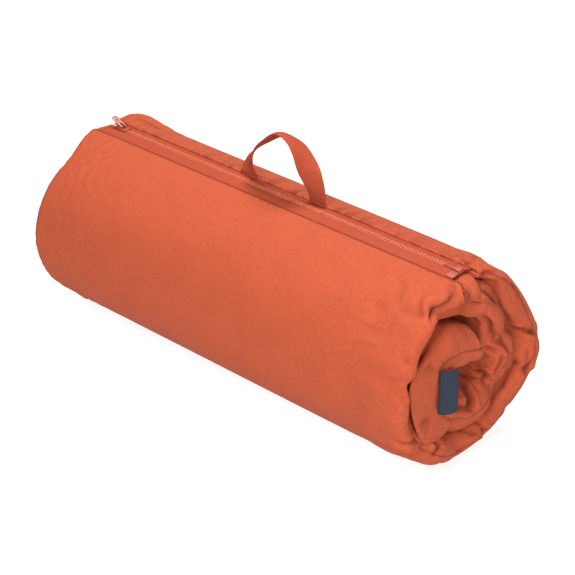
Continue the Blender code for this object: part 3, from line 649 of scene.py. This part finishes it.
def roundSide(share, face, end):
    # how far back from the hem and up to the face the cloth is, at a share of its way round a side
    turned = 0.5 * math.pi * share
    lift = np.full(len(rows), math.sin(turned) ** (2 / roll["fullness"]))
    back = np.full(len(rows), 1.0 - math.cos(turned) ** (2 / roll["fullness"]))
    tuck = between(*cover["tuckedAt"]) * (end > 0)
    flare = between(*cover["flaredAt"]) * (end > 0) * (face > 0)
    for weight, name in ((tuck, "tucked"), (flare, "flared")):
        at, backs, lifts = zip(*cover[name])
        ownBack, ownLift = np.interp(share, at, backs), np.interp(share, at, lifts)
        if name == "tucked" and face < 0:
            # the inner face lies back all the way from the tucked seam
            ownBack, ownLift = 1.1 - 0.1 * share, share
        back += weight * (ownBack - back)
        lift += weight * (ownLift - lift)
    return back, lift[:, None]


def halfSheet(face):
    # one face of the bag from end to end: points, how far each is from its side seam (negative at
    # the far end) and where it lies along the flat cloth
    line = outerLine if face > 0 else innerLine
    sideArc = cover["sideArc"] * (np.linalg.norm(line - seamLine, axis=1) + roll["sideRound"])
    columns, reach, across = [], [], []
    for end in (-1, 1):
        hem = np.array([hemAt(angle, end) for angle in rowAngle])
        edge = hem - roll["sideRound"]
        part = []
        for share in cover["sideShares"]:
            back, lift = roundSide(share, face, end)
            x = hem - roll["sideRound"] * back
            spots = np.column_stack([end * x, seamLine + (line - seamLine) * lift])
            part.append((spots, sideArc * share, edge + sideArc * (1.0 - share)))
        stations = [edge + (cover["places"][0] - edge) * t for t in (0.3, 0.65)]
        stations += [np.full(len(rows), x) for x in cover["places"]]
        for x in stations:
            part.append((np.column_stack([end * x, line]), sideArc + edge - x, x))
        for spots, far, out in part if end < 0 else part[::-1]:
            columns.append(spots)
            reach.append(far * end)
            across.append(out * end)
        if end < 0:
            # the middle of the roll
            columns.append(np.column_stack([np.zeros(len(rows)), line]))
            reach.append(np.full(len(rows), -0.33))
            across.append(np.zeros(len(rows)))
    return np.array(columns).transpose(1, 0, 2), np.array(reach).T, np.array(across).T


outerSheet = halfSheet(1)
innerSheet = halfSheet(-1)
grid, reach, across = (np.concatenate([a, b[:, -2:0:-1]], axis=1) for a, b in zip(outerSheet, innerSheet))
outerCount = outerSheet[0].shape[1]
count = grid.shape[1]
isOuter = (np.arange(count) < outerCount)[None, :]
arcs = [runLength(line) for line in (outerLine, innerLine)]
arcOf = np.where(isOuter, arcs[0][:, None], arcs[1][:, None])
fromSeam = np.abs(reach) * np.where(isOuter, 1.0, -1.0)
aboveFloor = 0.0002


def gridNormals(points):
    along = np.gradient(points, axis=0)
    sideways = np.roll(points, -1, axis=1) - np.roll(points, 1, axis=1)
    normal = np.cross(sideways, along)
    return normal / np.maximum(np.linalg.norm(normal, axis=2, keepdims=True), 1e-12)


radial = grid * np.array([0.0, 1.0, 1.0]) - np.array([0.0, 0.0, axisZ])
radial /= np.maximum(np.linalg.norm(radial, axis=2, keepdims=True), 1e-6)
for end, angle, wide, spot, tall, outwards, away in cover["pushes"]:
    weight = mm * bump(rowAngle[:, None], angle, wide) * bump(fromSeam, mm * spot, mm * tall)
    weight *= np.sign(reach) == end
    grid[:, :, 0] += weight * outwards * end
    grid += radial * (weight * away)[:, :, None]
high, angle, wide, x, long = cover["hump"]
hump = high * bump(rowAngle[:, None], angle, wide) * bump(grid[:, :, 0], x, long) * isOuter
grid = grid + gridNormals(grid) * hump[:, :, None]
grid[:, :, 2] = np.maximum(grid[:, :, 2], aboveFloor)
print("cover laid out:", grid.shape[0] * grid.shape[1], "points")

cloth = {
    # the loose ends of the bag, wrinkled by a cloth simulation: cloth beyond "from" takes part,
    # it is cut a little larger than the foam, no point may move further than "cap" (where it is
    # out of sight, than "hidden"), and most of the even swelling is taken out again
    "from": 0.150, "frames": 20, "pressure": 4.0, "larger": 0.060, "cap": 0.0075, "hidden": 0.0008,
    "evened": 0.8, "evenedOver": 24,
    # it is free from an x on, easing in, but held beside the zip (angle, its width, up to which x
    # at the far and near end), round the label (angle's width, distance from the seam) and, where
    # foam fills the far end tightly, behind the zip (angle, its width) and down the front
    "freeFrom": 0.175, "freeEase": 0.090, "zipHeld": (-3.0, 16.0), "zipHeldTo": (0.312, 0.296),
    "labelHeld": (34.0, 0.010), "backHeld": (34.0, 24.0), "backShare": 0.75, "frontShare": 0.85,
    "threads": {"quality": 6, "mass": 0.15, "tension_stiffness": 12.0, "compression_stiffness": 12.0,
                "shear_stiffness": 4.0, "bending_stiffness": 0.25},
}


def readValues(source, name, width):
    values = np.empty(len(source) * width)
    source.foreach_get(name, values)
    return values.reshape(-1, width)


def addValues(mesh, name, values):
    layer = mesh.attributes.new(name, "FLOAT", "POINT")
    layer.data.foreach_set("value", np.ravel(values).astype(np.float32))


def freedom():
    # 0 where the cloth is held, 1 where it may wrinkle
    x = np.abs(grid[:, :, 0])
    farEnd = grid[:, :, 0] < 0
    angle = rowAngle[:, None]
    zipRows = bump(np.where(angle < 180, angle, angle - 360), *cloth["zipHeld"]) * (angle < 380)
    heldTo = np.where(farEnd, *cloth["zipHeldTo"])
    wide, high = cloth["labelHeld"]
    nearLabel = bump(angle, label["angle"], wide) * bump(fromSeam, 0.0, high) * (reach > 0)
    taut = np.maximum(cloth["backShare"] * bump(angle, *cloth["backHeld"]),
                      cloth["frontShare"] * bump(angle, *cover["calmFront"])) * farEnd
    free = smooth((x - cloth["freeFrom"]) / cloth["freeEase"])
    return free * (1 - zipRows * smooth((heldTo - x) / 0.010)) * (1 - nearLabel) * (1 - taut)


def mayMove():
    side = smooth((0.052 - np.abs(reach)) / 0.012)
    outside = isOuter * (rowAngle[:, None] < frontAngle)
    return freedom() * (cloth["hidden"] + (cloth["cap"] - cloth["hidden"]) * np.maximum(side, outside))


def settleEnd(end):
    # let the cloth of one end settle, held where it isn't free; gives its columns and their new points
    seamColumn = outerCount - 1 if end > 0 else 0
    reachIn = sum(np.abs(grid[0, :outerCount // 2, 0]) > cloth["from"])
    picked = [(seamColumn + k) % count for k in range(-reachIn, reachIn + 1)]
    n = len(picked)
    faces = [(i * n + j, i * n + j + 1, (i + 1) * n + j + 1, (i + 1) * n + j)
             for i in range(len(rows) - 1) for j in range(n - 1)]
    onBack = (60, outerCount // 2)
    if end * np.sum(gridNormals(grid)[onBack] * radial[onBack]) < 0:
        faces = [f[::-1] for f in faces]
    piece = linkMesh("looseEnd", grid[:, picked].reshape(-1, 3), faces)
    held = piece.vertex_groups.new(name="held")
    for index, free in enumerate(freedom()[:, picked].ravel()):
        held.add([index], float(1.0 - free), "REPLACE")
    modifier = piece.modifiers.new("Cloth", "CLOTH")
    for key, value in cloth["threads"].items():
        setattr(modifier.settings, key, value)
    modifier.settings.vertex_group_mass = "held"
    modifier.settings.shrink_min = -cloth["larger"]
    modifier.settings.use_pressure = True
    modifier.settings.uniform_pressure_force = cloth["pressure"]
    modifier.settings.effector_weights.gravity = 0.0
    modifier.collision_settings.use_collision = False
    modifier.point_cache.frame_start = 1
    modifier.point_cache.frame_end = cloth["frames"]
    for frameNumber in range(1, cloth["frames"] + 1):
        scene.frame_set(frameNumber)
    found = readValues(evaluated(piece).data.vertices, "co", 3)
    bpy.data.objects.remove(piece, do_unlink=True)
    scene.frame_set(1)
    return picked, found.reshape(len(rows), n, 3)


limit = mayMove()
wrinkled = grid.copy()
for end in (-1, 1):
    picked, settled = settleEnd(end)
    move = settled - grid[:, picked]
    size = np.linalg.norm(move, axis=2)
    most = limit[:, picked]
    # full for small moves, closing softly on the cap
    share = most * np.tanh(size / np.maximum(most, 1e-9)) / np.maximum(size, 1e-9)
    move *= share[:, :, None]
    # keep the wrinkles and leave out most of the even swelling
    swell = move.copy()
    for _ in range(cloth["evenedOver"]):
        swell[1:-1] = 0.5 * swell[1:-1] + 0.25 * (swell[:-2] + swell[2:])
        swell[:, 1:-1] = 0.5 * swell[:, 1:-1] + 0.25 * (swell[:, :-2] + swell[:, 2:])
    wrinkled[:, picked] = grid[:, picked] + move - cloth["evened"] * swell
    print("end settled:", end, "largest move %.1f mm" % (1000 * size.max()))
grid = wrinkled
grid[:, :, 2] = np.maximum(grid[:, :, 2], aboveFloor)
for column, end in ((0, -1), (outerCount - 1, 1)):
    fast, slow = cover["drawWaves"]
    uneven = np.sin(arcOf[:, column] * fast) * np.sin(arcOf[:, column] * slow + 1.0)
    grid[:, column, 0] -= end * (cover["drawIn"] + cover["drawUneven"] * uneven)


def foldRelief(u, v, line, wide):
    # one fold along a line, u round the winding and v away from the side seam: a sharp valley
    # with a round ridge on each flank, one higher, that fades at the line's ends
    stops = np.array([(np.interp(a, rowAngle, seamArc), mm * d) for a, d in line])
    spans = np.linalg.norm(np.diff(stops, axis=0), axis=1)
    best = np.full(len(u), 1.0)
    along = np.zeros(len(u))
    flank = np.ones(len(u))
    for k, (p, q) in enumerate(zip(stops, stops[1:])):
        du, dv = (q - p) / spans[k]
        t = np.clip((u - p[0]) * du + (v - p[1]) * dv, 0.0, spans[k])
        distance = np.hypot(u - p[0] - t * du, v - p[1] - t * dv)
        nearer = distance < best
        best = np.where(nearer, distance, best)
        along = np.where(nearer, (spans[:k].sum() + t) / spans.sum(), along)
        flank = np.where(nearer, np.sign((u - p[0]) * dv - (v - p[1]) * du), flank)
    away = best / wide
    shape = -np.exp(-away ** 1.4) + np.where(flank > 0, 0.55, 0.25) * bump(away, 2.0, 1.0)
    return shape * (smooth(along / 0.2 + 0.35) * smooth((1.0 - along) / 0.4))


def creaseRelief(angle, arc, far, outside, end):
    # creases left by rolling: all round the inner turn, faint on the outer turn's near end, calm
    # down the front and under the label
    crease = cover["crease"]
    inner = angle > 360.0
    fade = np.where(inner, crease["fade"], crease["outerFade"])
    weight = smooth((np.where(inner, crease["reach"], crease["outerReach"]) + fade - far) / fade)
    weight *= smooth(np.abs(angle - 360.0) / 8.0 - 1.2) * smooth((angle - noseAngle - 2.0) / 6.0)
    for calm, share in (("calmFront", 0.8), ("calmLabel", 0.95)):
        weight *= 1.0 - share * bump(angle, *cover[calm]) * (end > 0) * outside
    weight *= np.where(inner, 1.0, np.where(end > 0, 0.3, 0.0)) * np.where(outside > 0.5, 1.0, 0.7)
    relief = np.zeros(len(angle))
    for k in np.flatnonzero(weight > 0.01):
        a = arc[k] / crease["apart"] + 0.9 * noise.noise((arc[k] / 0.05, far[k] / 0.02, end[k] * 3.0))
        value = noise.noise((a, far[k] / crease["long"] + outside[k] * 4.0, crease["seed"] * end[k]))
        relief[k] = crease["depth"] * weight[k] * (min(abs(value) * 2.6, 1.0) ** 0.7 - 0.75)
    return relief


def foldCloth(mesh):
    # folds and creases, laid on the finished mesh so that they stay sharp, with the painted shade that goes
    # with them
    spots = readValues(mesh.vertices, "co", 3)
    normals = readValues(mesh.vertex_normals, "vector", 3)
    angle, arc, outside, far = (readValues(mesh.attributes[name].data, "value", 1)[:, 0]
                                for name in ("rollAngle", "clothArc", "face", "seamDistance"))
    end = np.sign(spots[:, 0])
    u = np.interp(angle, rowAngle, seamArc)
    v = far * np.where(outside > 0.5, 1.0, -1.0)
    offset = np.zeros(len(u))
    for side, wide, depth, line in cover["folds"]:
        offset += mm * depth * foldRelief(u, v, line, mm * wide) * (end == side)
    offset += creaseRelief(angle, arc, far, outside, end)
    # painted shade at the bottom of a fold, and a painted shadow line at the foot of the folded edge in front
    # of the zip, kept as the "hollow" value that darkens the cover's colour
    deepest, light = cover["foldShade"]
    shade = np.clip(-offset / deepest - light, 0.0, 1.0)
    edgeRow = np.argmin(np.hypot(*(outerLine - frontEdge).T))
    wide, rim, dark = cover["footShade"]
    foot = smooth((wide - np.abs(arc - arcs[0][edgeRow])) / rim) * (outside > 0.5)
    addValues(mesh, "hollow", np.maximum(shade, dark * foot))
    spots += normals * offset[:, None]
    spots[:, 2] = np.maximum(spots[:, 2], aboveFloor)
    mesh.vertices.foreach_set("co", spots.ravel())
    mesh.update()


coverBag = linkMesh("coverBag", grid.reshape(-1, 3), tubeFaces(len(rows), count),
                    np.column_stack([arcOf.ravel(), across.ravel()]))
# what folds and material need: how far a point is from the side seam, how puckered the cloth is,
# its angle, where it lies round the winding, and which face it is on
behindFold = np.clip(rowAngle - noseAngle, 0.0, 40.0)[:, None]
least, x, wide = cover["puckerAlong"]
middle = least + (1.0 - least) * bump(grid[:, :, 0], x, wide)
pucker = np.exp(-behindFold / cover["puckerOver"]) * middle * isOuter
pucker *= ((rowAngle > noseAngle) & (rowAngle < cover["puckerEnd"]))[:, None]
for name, values in (("seamDistance", np.abs(reach)), ("pucker", pucker), ("rollAngle", rowAngle[:, None]),
                     ("clothArc", arcOf), ("face", isOuter)):
    addValues(coverBag.data, name, values * np.ones(reach.shape))
mended(coverBag, weld=1e-6)
applied(coverBag, "SUBSURF", levels=1, render_levels=1)
foldCloth(coverBag.data)
dress(coverBag, coverCotton)
place(coverBag, "roll", "cover", "outer_panel", "inner_panel", "back_panel", "foam_core")
print("cover made:", len(coverBag.data.polygons), "faces")


def clothSlab(name, across, along, spotAt):
    # a flat cloth with two faces and a rim; spotAt(i, j, layer) gives a point and its flat place
    spots = [spotAt(i, j, layer) for layer in (0, 1) for i in range(across + 1) for j in range(along + 1)]
    n = along + 1
    layer = (across + 1) * n
    quads = []
    for i in range(across):
        for j in range(along):
            a = i * n + j
            quads.append((a, a + 1, a + n + 1, a + n))
            quads.append((layer + a, layer + a + n, layer + a + n + 1, layer + a + 1))
    rim = [i * n for i in range(across + 1)] + [across * n + j for j in range(1, n)]
    rim += [i * n + along for i in range(across - 1, -1, -1)] + list(range(along - 1, 0, -1))
    quads += [(a, b, b + layer, a + layer) for a, b in zip(rim, rim[1:] + rim[:1])]
    return mended(linkMesh(name, [spot for spot, _ in spots], quads, [flat for _, flat in spots]))


# Zip: tapes, teeth, box and films
def tapePiece(name, node):
    low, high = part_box(node)
    xs, ys = (np.linspace(low[k], high[k], zipper["tapeCells"][k] + 1) for k in (0, 1))

    def spotAt(i, j, layer):
        x, y = xs[i], ys[j]
        uneven = 0.00008 * math.sin(x * 260.0 + y * 90.0) * math.sin(x * 37.0)
        return (x, y, tapeLow(y) + uneven + (1 - layer) * zipper["tapeThick"]), (x, y)

    tape = clothSlab(name, *zipper["tapeCells"], spotAt)
    dress(tape, tapeWeave)
    place(tape, "roll", "zip_tape", node)


tapePiece("tapeFront", "zip_tape_front")
tapePiece("tapeRear", "zip_tape_rear")


def toothMesh():
    # one moulded tooth: a rounded block with a narrower waist, its head across the centre line
    outline = [(-0.80, -1.0), (-0.86, -0.35), (-0.60, 0.02), (-0.92, 0.40), (-0.78, 0.62),
               (0.78, 0.62), (0.92, 0.40), (0.60, 0.02), (0.86, -0.35), (0.80, -1.0)]
    bm = bmesh.new()
    levels = []
    for z, inset, foot in ((-1.0, 0.80, 0.80), (-0.70, 1.0, 0.95), (0.20, 1.0, 1.0), (0.65, 0.97, 0.90),
                           (1.0, 0.80, 0.72)):
        long, deep, high = zipper["toothHalf"] * inset, zipper["halfWidth"] * foot, z * zipper["halfThick"]
        levels.append([bm.verts.new((x * long, y * (deep if y < 0 else zipper["headReach"]), high))
                       for x, y in outline])
    for a, b in zip(levels, levels[1:]):
        for k in range(len(a)):
            n = (k + 1) % len(a)
            bm.faces.new([a[k], a[n], b[n], b[k]])
    bm.faces.new(levels[0][::-1])
    bm.faces.new(levels[-1])
    # the bar its foot stands on, reaching to the next tooth
    bar = bmesh.ops.create_cube(bm, size=1.0)["verts"]
    bmesh.ops.scale(bm, verts=bar, vec=(1.08 * zipper["pitch"], zipper["barWide"], zipper["barHigh"]))
    bmesh.ops.translate(bm, verts=bar, vec=(0.0, -zipper["barWide"], -zipper["barDrop"]))
    bmesh.ops.recalc_face_normals(bm, faces=bm.faces)
    mesh = bpy.data.meshes.new("tooth")
    bm.to_mesh(mesh)
    bm.free()
    return mesh


def rowTree():
    # copies of one small mesh at even steps along a curve, turned with it, a little uneven in size
    tree = bpy.data.node_groups.new("rowOfShapes", "GeometryNodeTree")
    for label, side, kind in (("Geometry", "INPUT", "Geometry"), ("Step", "INPUT", "Float"),
                              ("Shape", "INPUT", "Object"), ("Finish", "INPUT", "Material"),
                              ("Seed", "INPUT", "Int"), ("Geometry", "OUTPUT", "Geometry")):
        tree.interface.new_socket(name=label, in_out=side, socket_type="NodeSocket" + kind)
    start = addNode(tree, "NodeGroupInput", {}, {}).outputs
    spots = addNode(tree, "GeometryNodeResampleCurve", {"mode": "LENGTH"},
                    {"Curve": start["Geometry"], "Length": start["Step"]})
    tangent = addNode(tree, "GeometryNodeInputTangent", {}, {})
    turned = addNode(tree, "FunctionNodeAlignRotationToVector", {"axis": "X"}, {"Vector": tangent.outputs[0]})
    shape = addNode(tree, "GeometryNodeObjectInfo", {"transform_space": "ORIGINAL"},
                    {"Object": start["Shape"]})
    uneven = addNode(tree, "FunctionNodeRandomValue", {"data_type": "FLOAT_VECTOR"},
                     {0: (0.94, 0.94, 0.94), 1: (1.04, 1.04, 1.04), "Seed": start["Seed"]})
    copies = addNode(tree, "GeometryNodeInstanceOnPoints", {},
                     {"Points": spots.outputs[0], "Instance": shape.outputs["Geometry"],
                      "Rotation": turned.outputs[0], "Scale": uneven.outputs[0]})
    solid = addNode(tree, "GeometryNodeRealizeInstances", {}, {0: copies.outputs[0]})
    painted = addNode(tree, "GeometryNodeSetMaterial", {},
                      {"Geometry": solid.outputs[0], "Material": start["Finish"]})
    addNode(tree, "NodeGroupOutput", {}, {0: painted.outputs[0]})
    return tree


rowOfShapes = rowTree()


def rowAlong(name, run, step, shapeMesh, finish, seed):
    shape = linkObject("shape", shapeMesh)
    curve = bpy.data.curves.new(name, "CURVE")
    curve.dimensions = "3D"
    spline = curve.splines.new("POLY")
    spline.points.add(len(run) - 1)
    for point, spot in zip(spline.points, run):
        point.co = (*spot, 1.0)
    guide = linkObject(name + "Guide", curve)
    modifier = guide.modifiers.new("row", "NODES")
    modifier.node_group = rowOfShapes
    values = {"Step": step, "Shape": shape, "Finish": finish, "Seed": seed}
    for item in rowOfShapes.interface.items_tree:
        if item.name in values:
            modifier[item.identifier] = values[item.name]
    guide.update_tag()
    bpy.context.view_layer.update()
    made = bpy.data.meshes.new_from_object(evaluated(guide))
    bpy.data.objects.remove(guide, do_unlink=True)
    bpy.data.objects.remove(shape, do_unlink=True)
    return linkObject(name, made)


for name, node, turned, shift in (("teethFront", "teeth_front", 0, 0.28),
                                  ("teethRear", "teeth_rear", 180, 0.78)):
    tooth = toothMesh()
    tooth.transform(Matrix.Rotation(math.radians(turned), 4, "Z"))
    y, z = zipper["y"], rollTop - zipper["depth"]
    x0 = zipper["start"] + shift * zipper["pitch"]
    x1 = x0 + (zipper["teeth"] - 1) * zipper["pitch"]
    teeth = rowAlong(name, [(x0, y, z), (x1, y, z)], zipper["pitch"], tooth, toothAcetal, 4)
    place(teeth, "roll", "zip_teeth", node)
print("zip teeth made")

for node, name, width, finish, slotName, body in (
        ("top_stop_front", "topStopFront", 0.0006, toothAcetal, "zip_teeth", "roll"),
        ("top_stop_rear", "topStopRear", 0.0006, toothAcetal, "zip_teeth", "roll"),
        ("retainer_box", "retainerBox", 0.0007, boxAcetal, "zip_end", "roll"),
        ("insertion_pin", "insertionPin", 0.0005, boxAcetal, "zip_end", "roll"),
        ("retainer_pin", "retainerPin", 0.0005, boxAcetal, "zip_end", "roll"),
        ("end_film_front", "endFilmFront", 0.0001, filmNylon, "zip_end", "roll"),
        ("end_film_rear", "endFilmRear", 0.0001, filmNylon, "zip_end", "roll"),
        ("slider_body", "sliderBody", 0.0004, sliderLacquer, "zip_slider", "slider"),
        ("slider_underplate", "sliderUnderplate", 0.0003, sliderLacquer, "zip_slider", "slider"),
        ("pull_tab", "pullTab", 0.0005, sliderLacquer, "zip_slider", "pull")):
    piece = rounded(node, name, width, 3)
    dress(piece, finish)
    place(piece, body, slotName, node)
print("zip hardware made")


# Carry handle
strap = {
    "width": 0.026, "thick": 0.0012, "x": 0.0014, "footX": 0.0566, "height": 0.0684,
    "y": roll["rearFoldY"] - 0.0012, "lift": 0.0001, "drop": 0.0004, "steps": 156,
    # each bend from foot to foot: place along the roll in shares of footX, height in shares of
    # height, lean to the back and curl across the strap in shares of width, twist in degrees
    "bends": [(-1.00, 0.00, 0.00, 0.00, 90.0), (-0.98, 0.18, 0.10, 0.04, 64.0),
              (-0.88, 0.345, 0.14, 0.08, 37.0), (-0.76, 0.505, 0.11, 0.13, 12.0),
              (-0.60, 0.65, 0.06, 0.15, -2.0), (-0.40, 0.79, 0.03, 0.15, -8.0),
              (-0.20, 0.92, 0.00, 0.15, -16.0), (0.02, 1.00, -0.02, 0.13, -23.0),
              (0.29, 0.97, -0.04, 0.11, -15.0), (0.51, 0.845, -0.06, 0.08, 3.0),
              (0.69, 0.65, -0.08, 0.06, 26.0), (0.85, 0.445, -0.08, 0.04, 60.0),
              (0.97, 0.225, -0.06, 0.02, 81.0), (1.00, 0.00, 0.00, 0.00, 90.0)],
}
bendZ = rollTop + strap["lift"] + strap["thick"] / 2
strapPath = [(strap["x"] + x * strap["footX"], strap["y"] + y * strap["width"],
              bendZ + z * (strap["height"] + strap["drop"]) - strap["drop"], curl, twist)
             for x, z, y, curl, twist in strap["bends"]]


def strapAt(share):
    # point, direction, curl and twist at a share of the strap's length
    at = share * (len(strapPath) - 1)
    k = min(int(at), len(strapPath) - 2)
    t = at - k
    near = [strapPath[min(max(k + m, 0), len(strapPath) - 1)] for m in (-1, 0, 1, 2)]
    value = []
    slope = []
    for a, b, c, d in zip(*near):
        m0 = 0.5 * (c - a)
        m1 = 0.5 * (d - b)
        value.append((2 * t**3 - 3 * t**2 + 1) * b + (t**3 - 2 * t**2 + t) * m0
                     + (3 * t**2 - 2 * t**3) * c + (t**3 - t**2) * m1)
        slope.append((6 * t**2 - 6 * t) * b + (3 * t**2 - 4 * t + 1) * m0
                     + (6 * t - 6 * t**2) * c + (3 * t**2 - 2 * t) * m1)
    run = Vector((slope[0], 0.0, slope[2])).normalized()
    return Vector(value[:3]), run, value[3] * strap["width"], value[4]


def strapSection():
    # flat tube of folded cloth, a shade thicker at its edges than in the middle
    half = strap["width"] / 2
    section = [(-half, 0.0)]
    for u in np.linspace(-1.0, 1.0, 13):
        section.append((u * (half - 0.0004), 0.5 * strap["thick"] * (0.86 + 0.14 * abs(u) ** 3)))
    section.append((half, 0.0))
    return section + [(u, -v) for u, v in section[-2:0:-1]]


def strapPiece():
    section = strapSection()
    pts = []
    uvs = []
    length = 0.0
    before = None
    side = Vector((0.0, 1.0, 0.0))
    for k in range(strap["steps"] + 1):
        point, run, curl, twist = strapAt(k / strap["steps"])
        if k in (0, strap["steps"]):
            run = Vector((0.0, 0.0, 1.0 if k == 0 else -1.0))
        if before is not None:
            length += (point - before).length
        before = point
        wide = side * math.cos(math.radians(twist)) + run.cross(side) * math.sin(math.radians(twist))
        face = run.cross(wide)
        for u, v in section:
            bow = curl * (1.0 - (2.0 * u / strap["width"]) ** 2)
            pts.append(point + wide * u + face * (v + bow))
            uvs.append((length, u))
    n = len(section)
    quads = tubeFaces(strap["steps"] + 1, n)
    quads.append(tuple(range(n))[::-1])
    quads.append(tuple(range(strap["steps"] * n, (strap["steps"] + 1) * n)))
    return mended(linkMesh("carryHandle", pts, quads, uvs)), length


carryHandle, strapLength = strapPiece()
dress(carryHandle, strapCotton)
place(carryHandle, "handle", "cover", "carry_handle")
print("handle made, strap length %.3f" % strapLength)

for node, name in (("handle_foot_left", "handleFootLeft"), ("handle_foot_right", "handleFootRight")):
    foot = rounded(node, name, 0.0002, 2)
    layCloth(foot.data, [(corner.co.x, corner.co.y + corner.co.z) for corner in foot.data.vertices])
    dress(foot, strapCotton)
    place(foot, "roll", "cover", node)


# Blank label
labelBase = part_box("side_label")[0]


def labelSpot(i, j, layer):
    # across the label by i from its sewn base, along it by j
    t = i / label["across"] * (len(label["curl"]) - 1)
    k = min(int(t), len(label["curl"]) - 2)
    (out0, back0), (out1, back1) = label["curl"][k:k + 2]
    out = out0 + (out1 - out0) * (t - k)
    back = back0 + (back1 - back0) * (t - k)
    z = axisZ + label["length"] * (j / label["along"] - 0.5)
    wave = label["wave"] * math.sin(j / label["along"] * 5.0) * (i / label["across"]) ** 2
    x, y = (labelBase[k] + label["base"][k] + label["width"] * (out, back)[k] + label["thick"][k] * layer
            for k in (0, 1))
    return (x + wave, y, z), (i / label["across"] * label["width"], z)


sideLabel = clothSlab("sideLabel", label["across"], label["along"], labelSpot)
dress(sideLabel, labelWeave)
place(sideLabel, "roll", "label", "side_label")
print("label made")


# Thread: one row of stitches along the folded edge behind the zip
stitch = {"long": 0.0012, "wide": 0.00022, "high": 0.00018, "step": 0.0034, "behindFold": 1.7,
          "lift": 0.00015, "from": -0.236, "to": 0.272, "points": 128}


def stitchMesh():
    bm = bmesh.new()
    for corner in bmesh.ops.create_uvsphere(bm, u_segments=8, v_segments=6, radius=1.0)["verts"]:
        across, up, along = corner.co
        corner.co = Vector((along * stitch["long"], across * stitch["wide"], up * stitch["high"]))
    mesh = bpy.data.meshes.new("stitch")
    bm.to_mesh(mesh)
    bm.free()
    shadeSmooth(mesh)
    return mesh


sewnRow = grid[np.argmin(np.abs(rowAngle - noseAngle - stitch["behindFold"])), :outerCount]
sewnX = np.linspace(stitch["from"], stitch["to"], stitch["points"])
sewnY, sewnZ = (np.interp(sewnX, sewnRow[:, 0], sewnRow[:, k]) for k in (1, 2))
edgeStitches = rowAlong("edgeStitches", np.column_stack([sewnX, sewnY, sewnZ + stitch["lift"]]),
                        stitch["step"], stitchMesh(), seamThread, 7)
place(edgeStitches, "roll", "cover")
print("stitches made")


# Floor and light
floor = linkMesh("floor", [(-40, -40, 0), (40, -40, 0), (40, 40, 0), (-40, 40, 0)], [(0, 1, 2, 3)])
# white sweep that glows a little, so that shadows on it stay faint
floorPaper, tree, shader = startMaterial("floorPaper", {
    "Roughness": 0.9, "Emission Color": (1.0, 1.0, 1.0, 1.0), "Emission Strength": 0.80,
    "Specular IOR Level": 0.1})
spots = addNode(tree, "ShaderNodeTexNoise", {}, {"Scale": 3.0, "Detail": 2.0}).outputs[0]
setInputs(tree, shader, {"Base Color": tinted(tree, spots, linearColor("#8d8d8c"), linearColor("#939393"))})
dress(floor, floorPaper)

world = bpy.data.worlds.new("studio")
world.use_nodes = True
setInputs(world.node_tree, world.node_tree.nodes["Background"],
          {"Color": (1.0, 1.0, 1.0, 1.0), "Strength": 0.22})
scene.world = world

for name, spot, target, size, power in (
        ("keySoftbox", (0.6, -2.0, 2.2), (0.1, 0.0, 0.1), 0.9, 67.0),
        ("overheadSoftbox", (-0.2, 0.8, 2.7), (0.0, 0.0, 0.1), 1.2, 100.0),
        ("sideSoftbox", (2.1, -1.5, 1.0), (0.3, 0.0, 0.1), 0.6, 52.0)):
    light = bpy.data.lights.new(name, "AREA")
    light.shape = "SQUARE"
    light.size = size
    light.energy = power
    lamp = linkObject(name, light)
    lamp.location = spot
    lamp.rotation_euler = (Vector(target) - Vector(spot)).to_track_quat("-Z", "Y").to_euler()
print("stage set")
